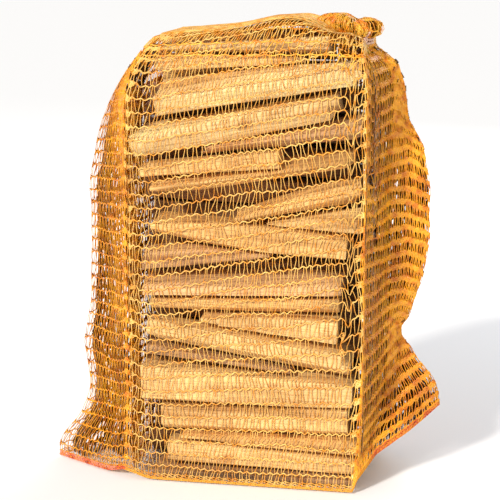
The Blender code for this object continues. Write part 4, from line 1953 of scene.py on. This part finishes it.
@dataclass
class NeckTie:
    """The cord round the neck: two plies twisted together, two turns and a knot.

    Its sizes are millimetres.
    """

    neck: tuple = (103.0, -22.0)
    height: float = 431.5
    wrap_radius: float = 12.4
    wrap_uneven: float = 0.3
    turns: int = 2
    turn_points: int = 24
    pitch: float = 3.0
    knot_angle: float = math.radians(-70.0)
    knot_size: float = 2.5
    knot_points: int = 48
    knot_out: float = 2.0
    tail: float = 10.0
    tail_points: tuple = (0.33, 0.66, 1.0)
    ply_radius: float = 0.72
    ply_offset: float = 0.62
    twist_length: float = 6.0
    fineness: int = 22

    def knot_axes(self) -> tuple:
        """The knot's own directions.

        Returns:
            Out from the neck, sideways round it, and up.
        """
        outward = Vector((math.cos(self.knot_angle), math.sin(self.knot_angle), 0.0))
        return outward, Vector((-outward.y, outward.x, 0.0)), Vector((0.0, 0.0, 1.0))

    def tail_point(self, start: Vector, share: float, side: float) -> Vector:
        """A point on one of the tails, which spread and curl up.

        Args:
            start: Where the tail leaves the neck.
            share: How far along the tail.
            side: -1 for the first tail, 1 for the last.

        Returns:
            The point.
        """
        outward, sideways, upward = self.knot_axes()
        return start + self.tail * share * (0.7 * outward + 0.5 * side * sideways + 0.5 * share * upward)

    def route(self) -> list:
        """Middle line of the cord from tail to tail.

        Returns:
            Its points.
        """
        steps = self.turn_points * self.turns
        low = self.height - self.turns * self.pitch / 2.0
        wrap = []
        for step in range(steps + 1):
            angle = self.knot_angle + 2.0 * math.pi * self.turns * step / steps
            radius = self.wrap_radius + self.wrap_uneven * math.cos(angle * 7.0)
            wrap.append(Vector((
                self.neck[0] + radius * math.cos(angle),
                self.neck[1] + radius * math.sin(angle),
                low + self.pitch * self.turns * step / steps,
            )))
        first = [self.tail_point(wrap[0], share, -1.0) for share in reversed(self.tail_points)]
        last = [self.tail_point(wrap[-1], share, 1.0) for share in self.tail_points]
        return first + wrap + last

    def knot_route(self) -> list:
        """Closed middle line of the overhand knot.

        Returns:
            Its points.
        """
        outward, sideways, upward = self.knot_axes()
        centre = Vector((*self.neck, self.height)) + outward * (self.wrap_radius + self.knot_out)
        points = []
        for step in range(self.knot_points + 1):
            turn = 2.0 * math.pi * step / self.knot_points
            wide = math.sin(turn) + 2.0 * math.sin(2.0 * turn)
            tall = math.cos(turn) - 2.0 * math.cos(2.0 * turn)
            deep = -math.sin(3.0 * turn)
            loop = 0.5 * wide * sideways + 0.42 * tall * upward + 0.5 * deep * outward
            points.append(centre + self.knot_size * loop)
        return points

    def ply(self, route: list, phase: float) -> list:
        """One ply's line, winding round the cord's middle line.

        Args:
            route: The cord's middle line.
            phase: Where on the cord's round the ply starts.

        Returns:
            The ply's points in metres.
        """
        points, length = [], 0.0
        side = Vector((0.3, 0.5, 1.0))
        for index in range(len(route) - 1):
            start, stop = route[index], route[index + 1]
            along = (stop - start).normalized()
            side = (side - along * side.dot(along)).normalized()
            other = along.cross(side)
            pieces = max(2, round((stop - start).length * self.fineness / self.twist_length))
            for piece in range(pieces):
                here = length + (stop - start).length * piece / pieces
                turn = phase + 2.0 * math.pi * here / self.twist_length
                offset = side * math.cos(turn) + other * math.sin(turn)
                points.append((start.lerp(stop, piece / pieces) + offset * self.ply_offset) * MM)
            length += (stop - start).length
        return points

    def build(self, material: bpy.types.Material) -> bpy.types.Object:
        """Twist the plies of the cord and of its knot into one mesh.

        Args:
            material: The cord's finish.

        Returns:
            The finished tie.
        """
        curve = bpy.data.curves.new("tie_plies", "CURVE")
        curve.dimensions = "3D"
        curve.bevel_depth = self.ply_radius * MM
        curve.bevel_resolution = 2
        curve.use_fill_caps = True
        for route in (self.route(), self.knot_route()):
            for phase in (0.0, math.pi):
                points = self.ply(route, phase)
                spline = curve.splines.new("POLY")
                spline.points.add(len(points) - 1)
                for point, place in zip(spline.points, points):
                    point.co = (*place, 1.0)
        shape = bpy.data.objects.new("tie_plies", curve)
        bpy.context.scene.collection.objects.link(shape)
        graph = bpy.context.evaluated_depsgraph_get()
        mesh = bpy.data.meshes.new_from_object(shape.evaluated_get(graph))
        bpy.data.objects.remove(shape)
        mesh.materials.clear()
        mesh.materials.append(material)
        mesh.shade_smooth()
        piece = link_piece("tie_twisted", mesh)
        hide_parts("tie_cord")
        return piece


class LampKind(Enum):
    """Kinds of studio lamp."""

    SUN = "SUN"
    PANEL = "AREA"


@dataclass(frozen=True)
class StudioLight:
    """One soft lamp: a far one is spread by angle, a panel by its width in metres."""

    name: str
    kind: LampKind
    place: tuple
    spread: float
    power: float
    colour: tuple


@dataclass
class Studio:
    """Pale floor, soft lights and the camera at the photograph's angle."""

    target: Vector = Vector((0.0, -0.002, 0.222))
    azimuth: float = math.radians(10.0)
    elevation: float = math.radians(12.0)
    distance: float = 1.3
    focal_pixels: float = 1300.0
    image_pixels: float = 500.0
    sensor: float = 36.0
    shift_pixels: float = 5.0
    floor_reach: float = 40.0
    floor_gap: float = 0.4 * MM
    floor_colour: tuple = (0.96, 0.965, 0.985, 1.0)
    floor_roughness: float = 0.85
    room_colour: tuple = (0.95, 0.97, 1.0, 1.0)
    room_light: float = 0.5
    lights: tuple = (
        StudioLight(
            "key_light", LampKind.SUN, (-1.25, -2.2, 1.75), math.radians(9.0), 3.5, (1.0, 0.95, 0.86),
        ),
        StudioLight("fill_light", LampKind.PANEL, (1.5, -1.8, 0.8), 1.6, 9.0, (0.96, 0.98, 1.0)),
        StudioLight("back_light", LampKind.PANEL, (0.8, 1.9, 1.5), 1.6, 26.0, (1.0, 0.98, 0.95)),
    )

    def aim(self, item: bpy.types.Object, target: Vector) -> None:
        """Turn an object so that its -Z points at a place.

        Args:
            item: The object.
            target: The place.
        """
        item.rotation_mode = "QUATERNION"
        item.rotation_quaternion = (target - item.location).to_track_quat("-Z", "Y")

    def add_camera(self) -> None:
        """Stand the camera where the photograph was taken from."""
        data = bpy.data.cameras.new("photo_camera")
        data.sensor_width = self.sensor
        data.lens = self.sensor * self.focal_pixels / self.image_pixels
        data.shift_x = -self.shift_pixels / self.image_pixels
        data.dof.use_dof = False
        camera = bpy.data.objects.new("photo_camera", data)
        bpy.context.scene.collection.objects.link(camera)
        back = Vector((
            math.sin(self.azimuth) * math.cos(self.elevation),
            -math.cos(self.azimuth) * math.cos(self.elevation),
            math.sin(self.elevation),
        ))
        camera.location = self.target + back * self.distance
        self.aim(camera, self.target)
        bpy.context.scene.camera = camera

    def add_lights(self) -> None:
        """Hang the soft lamps."""
        for light in self.lights:
            data = bpy.data.lights.new(light.name, light.kind.value)
            if light.kind is LampKind.SUN:
                data.angle = light.spread
            else:
                data.size = light.spread
            data.energy = light.power
            data.color = light.colour
            lamp = bpy.data.objects.new(light.name, data)
            bpy.context.scene.collection.objects.link(lamp)
            lamp.location = light.place
            self.aim(lamp, self.target)

    def add_world(self) -> None:
        """Fill the room with even pale light."""
        world = bpy.data.worlds.new("pale_room")
        world.use_nodes = True
        background = world.node_tree.nodes["Background"]
        background.inputs["Color"].default_value = self.room_colour
        background.inputs["Strength"].default_value = self.room_light
        bpy.context.scene.world = world

    def add_floor(self) -> None:
        """Lay the pale floor just under the sack."""
        solid = bmesh.new()
        bmesh.ops.create_grid(solid, x_segments=1, y_segments=1, size=self.floor_reach)
        bmesh.ops.translate(solid, vec=(0.0, 0.0, -self.floor_gap), verts=solid.verts)
        mesh = bpy.data.meshes.new("floor")
        solid.to_mesh(mesh)
        solid.free()
        board = NodeBoard("pale_floor")
        board.shader.inputs["Base Color"].default_value = self.floor_colour
        board.shader.inputs["Roughness"].default_value = self.floor_roughness
        mesh.materials.append(board.material)
        floor = bpy.data.objects.new("floor", mesh)
        bpy.context.scene.collection.objects.link(floor)

    def build(self) -> None:
        """Set up the whole studio."""
        bpy.context.scene.view_settings.view_transform = "Standard"
        self.add_camera()
        self.add_lights()
        self.add_world()
        self.add_floor()


def main() -> None:
    """Build the sack's pieces and the studio."""
    logging.basicConfig(level=logging.INFO)
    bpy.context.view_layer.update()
    Studio().build()
    Kindling().build()
    surfaces = SackForm().build()
    finishes = {tone: NetPlastic(tone).build() for tone in NetTone}
    KnittedNet(surfaces["sack"], finishes).build(WALL_PANELS)
    for name, panels in LOOSE_PANELS.items():
        KnittedNet(surfaces[name], finishes).build(panels)
    HemSeam(surfaces["sack"], finishes).build_seam(SeamThread().build())
    NeckTie().build(TieFibre().build())


if __name__ == "__main__":
    main()
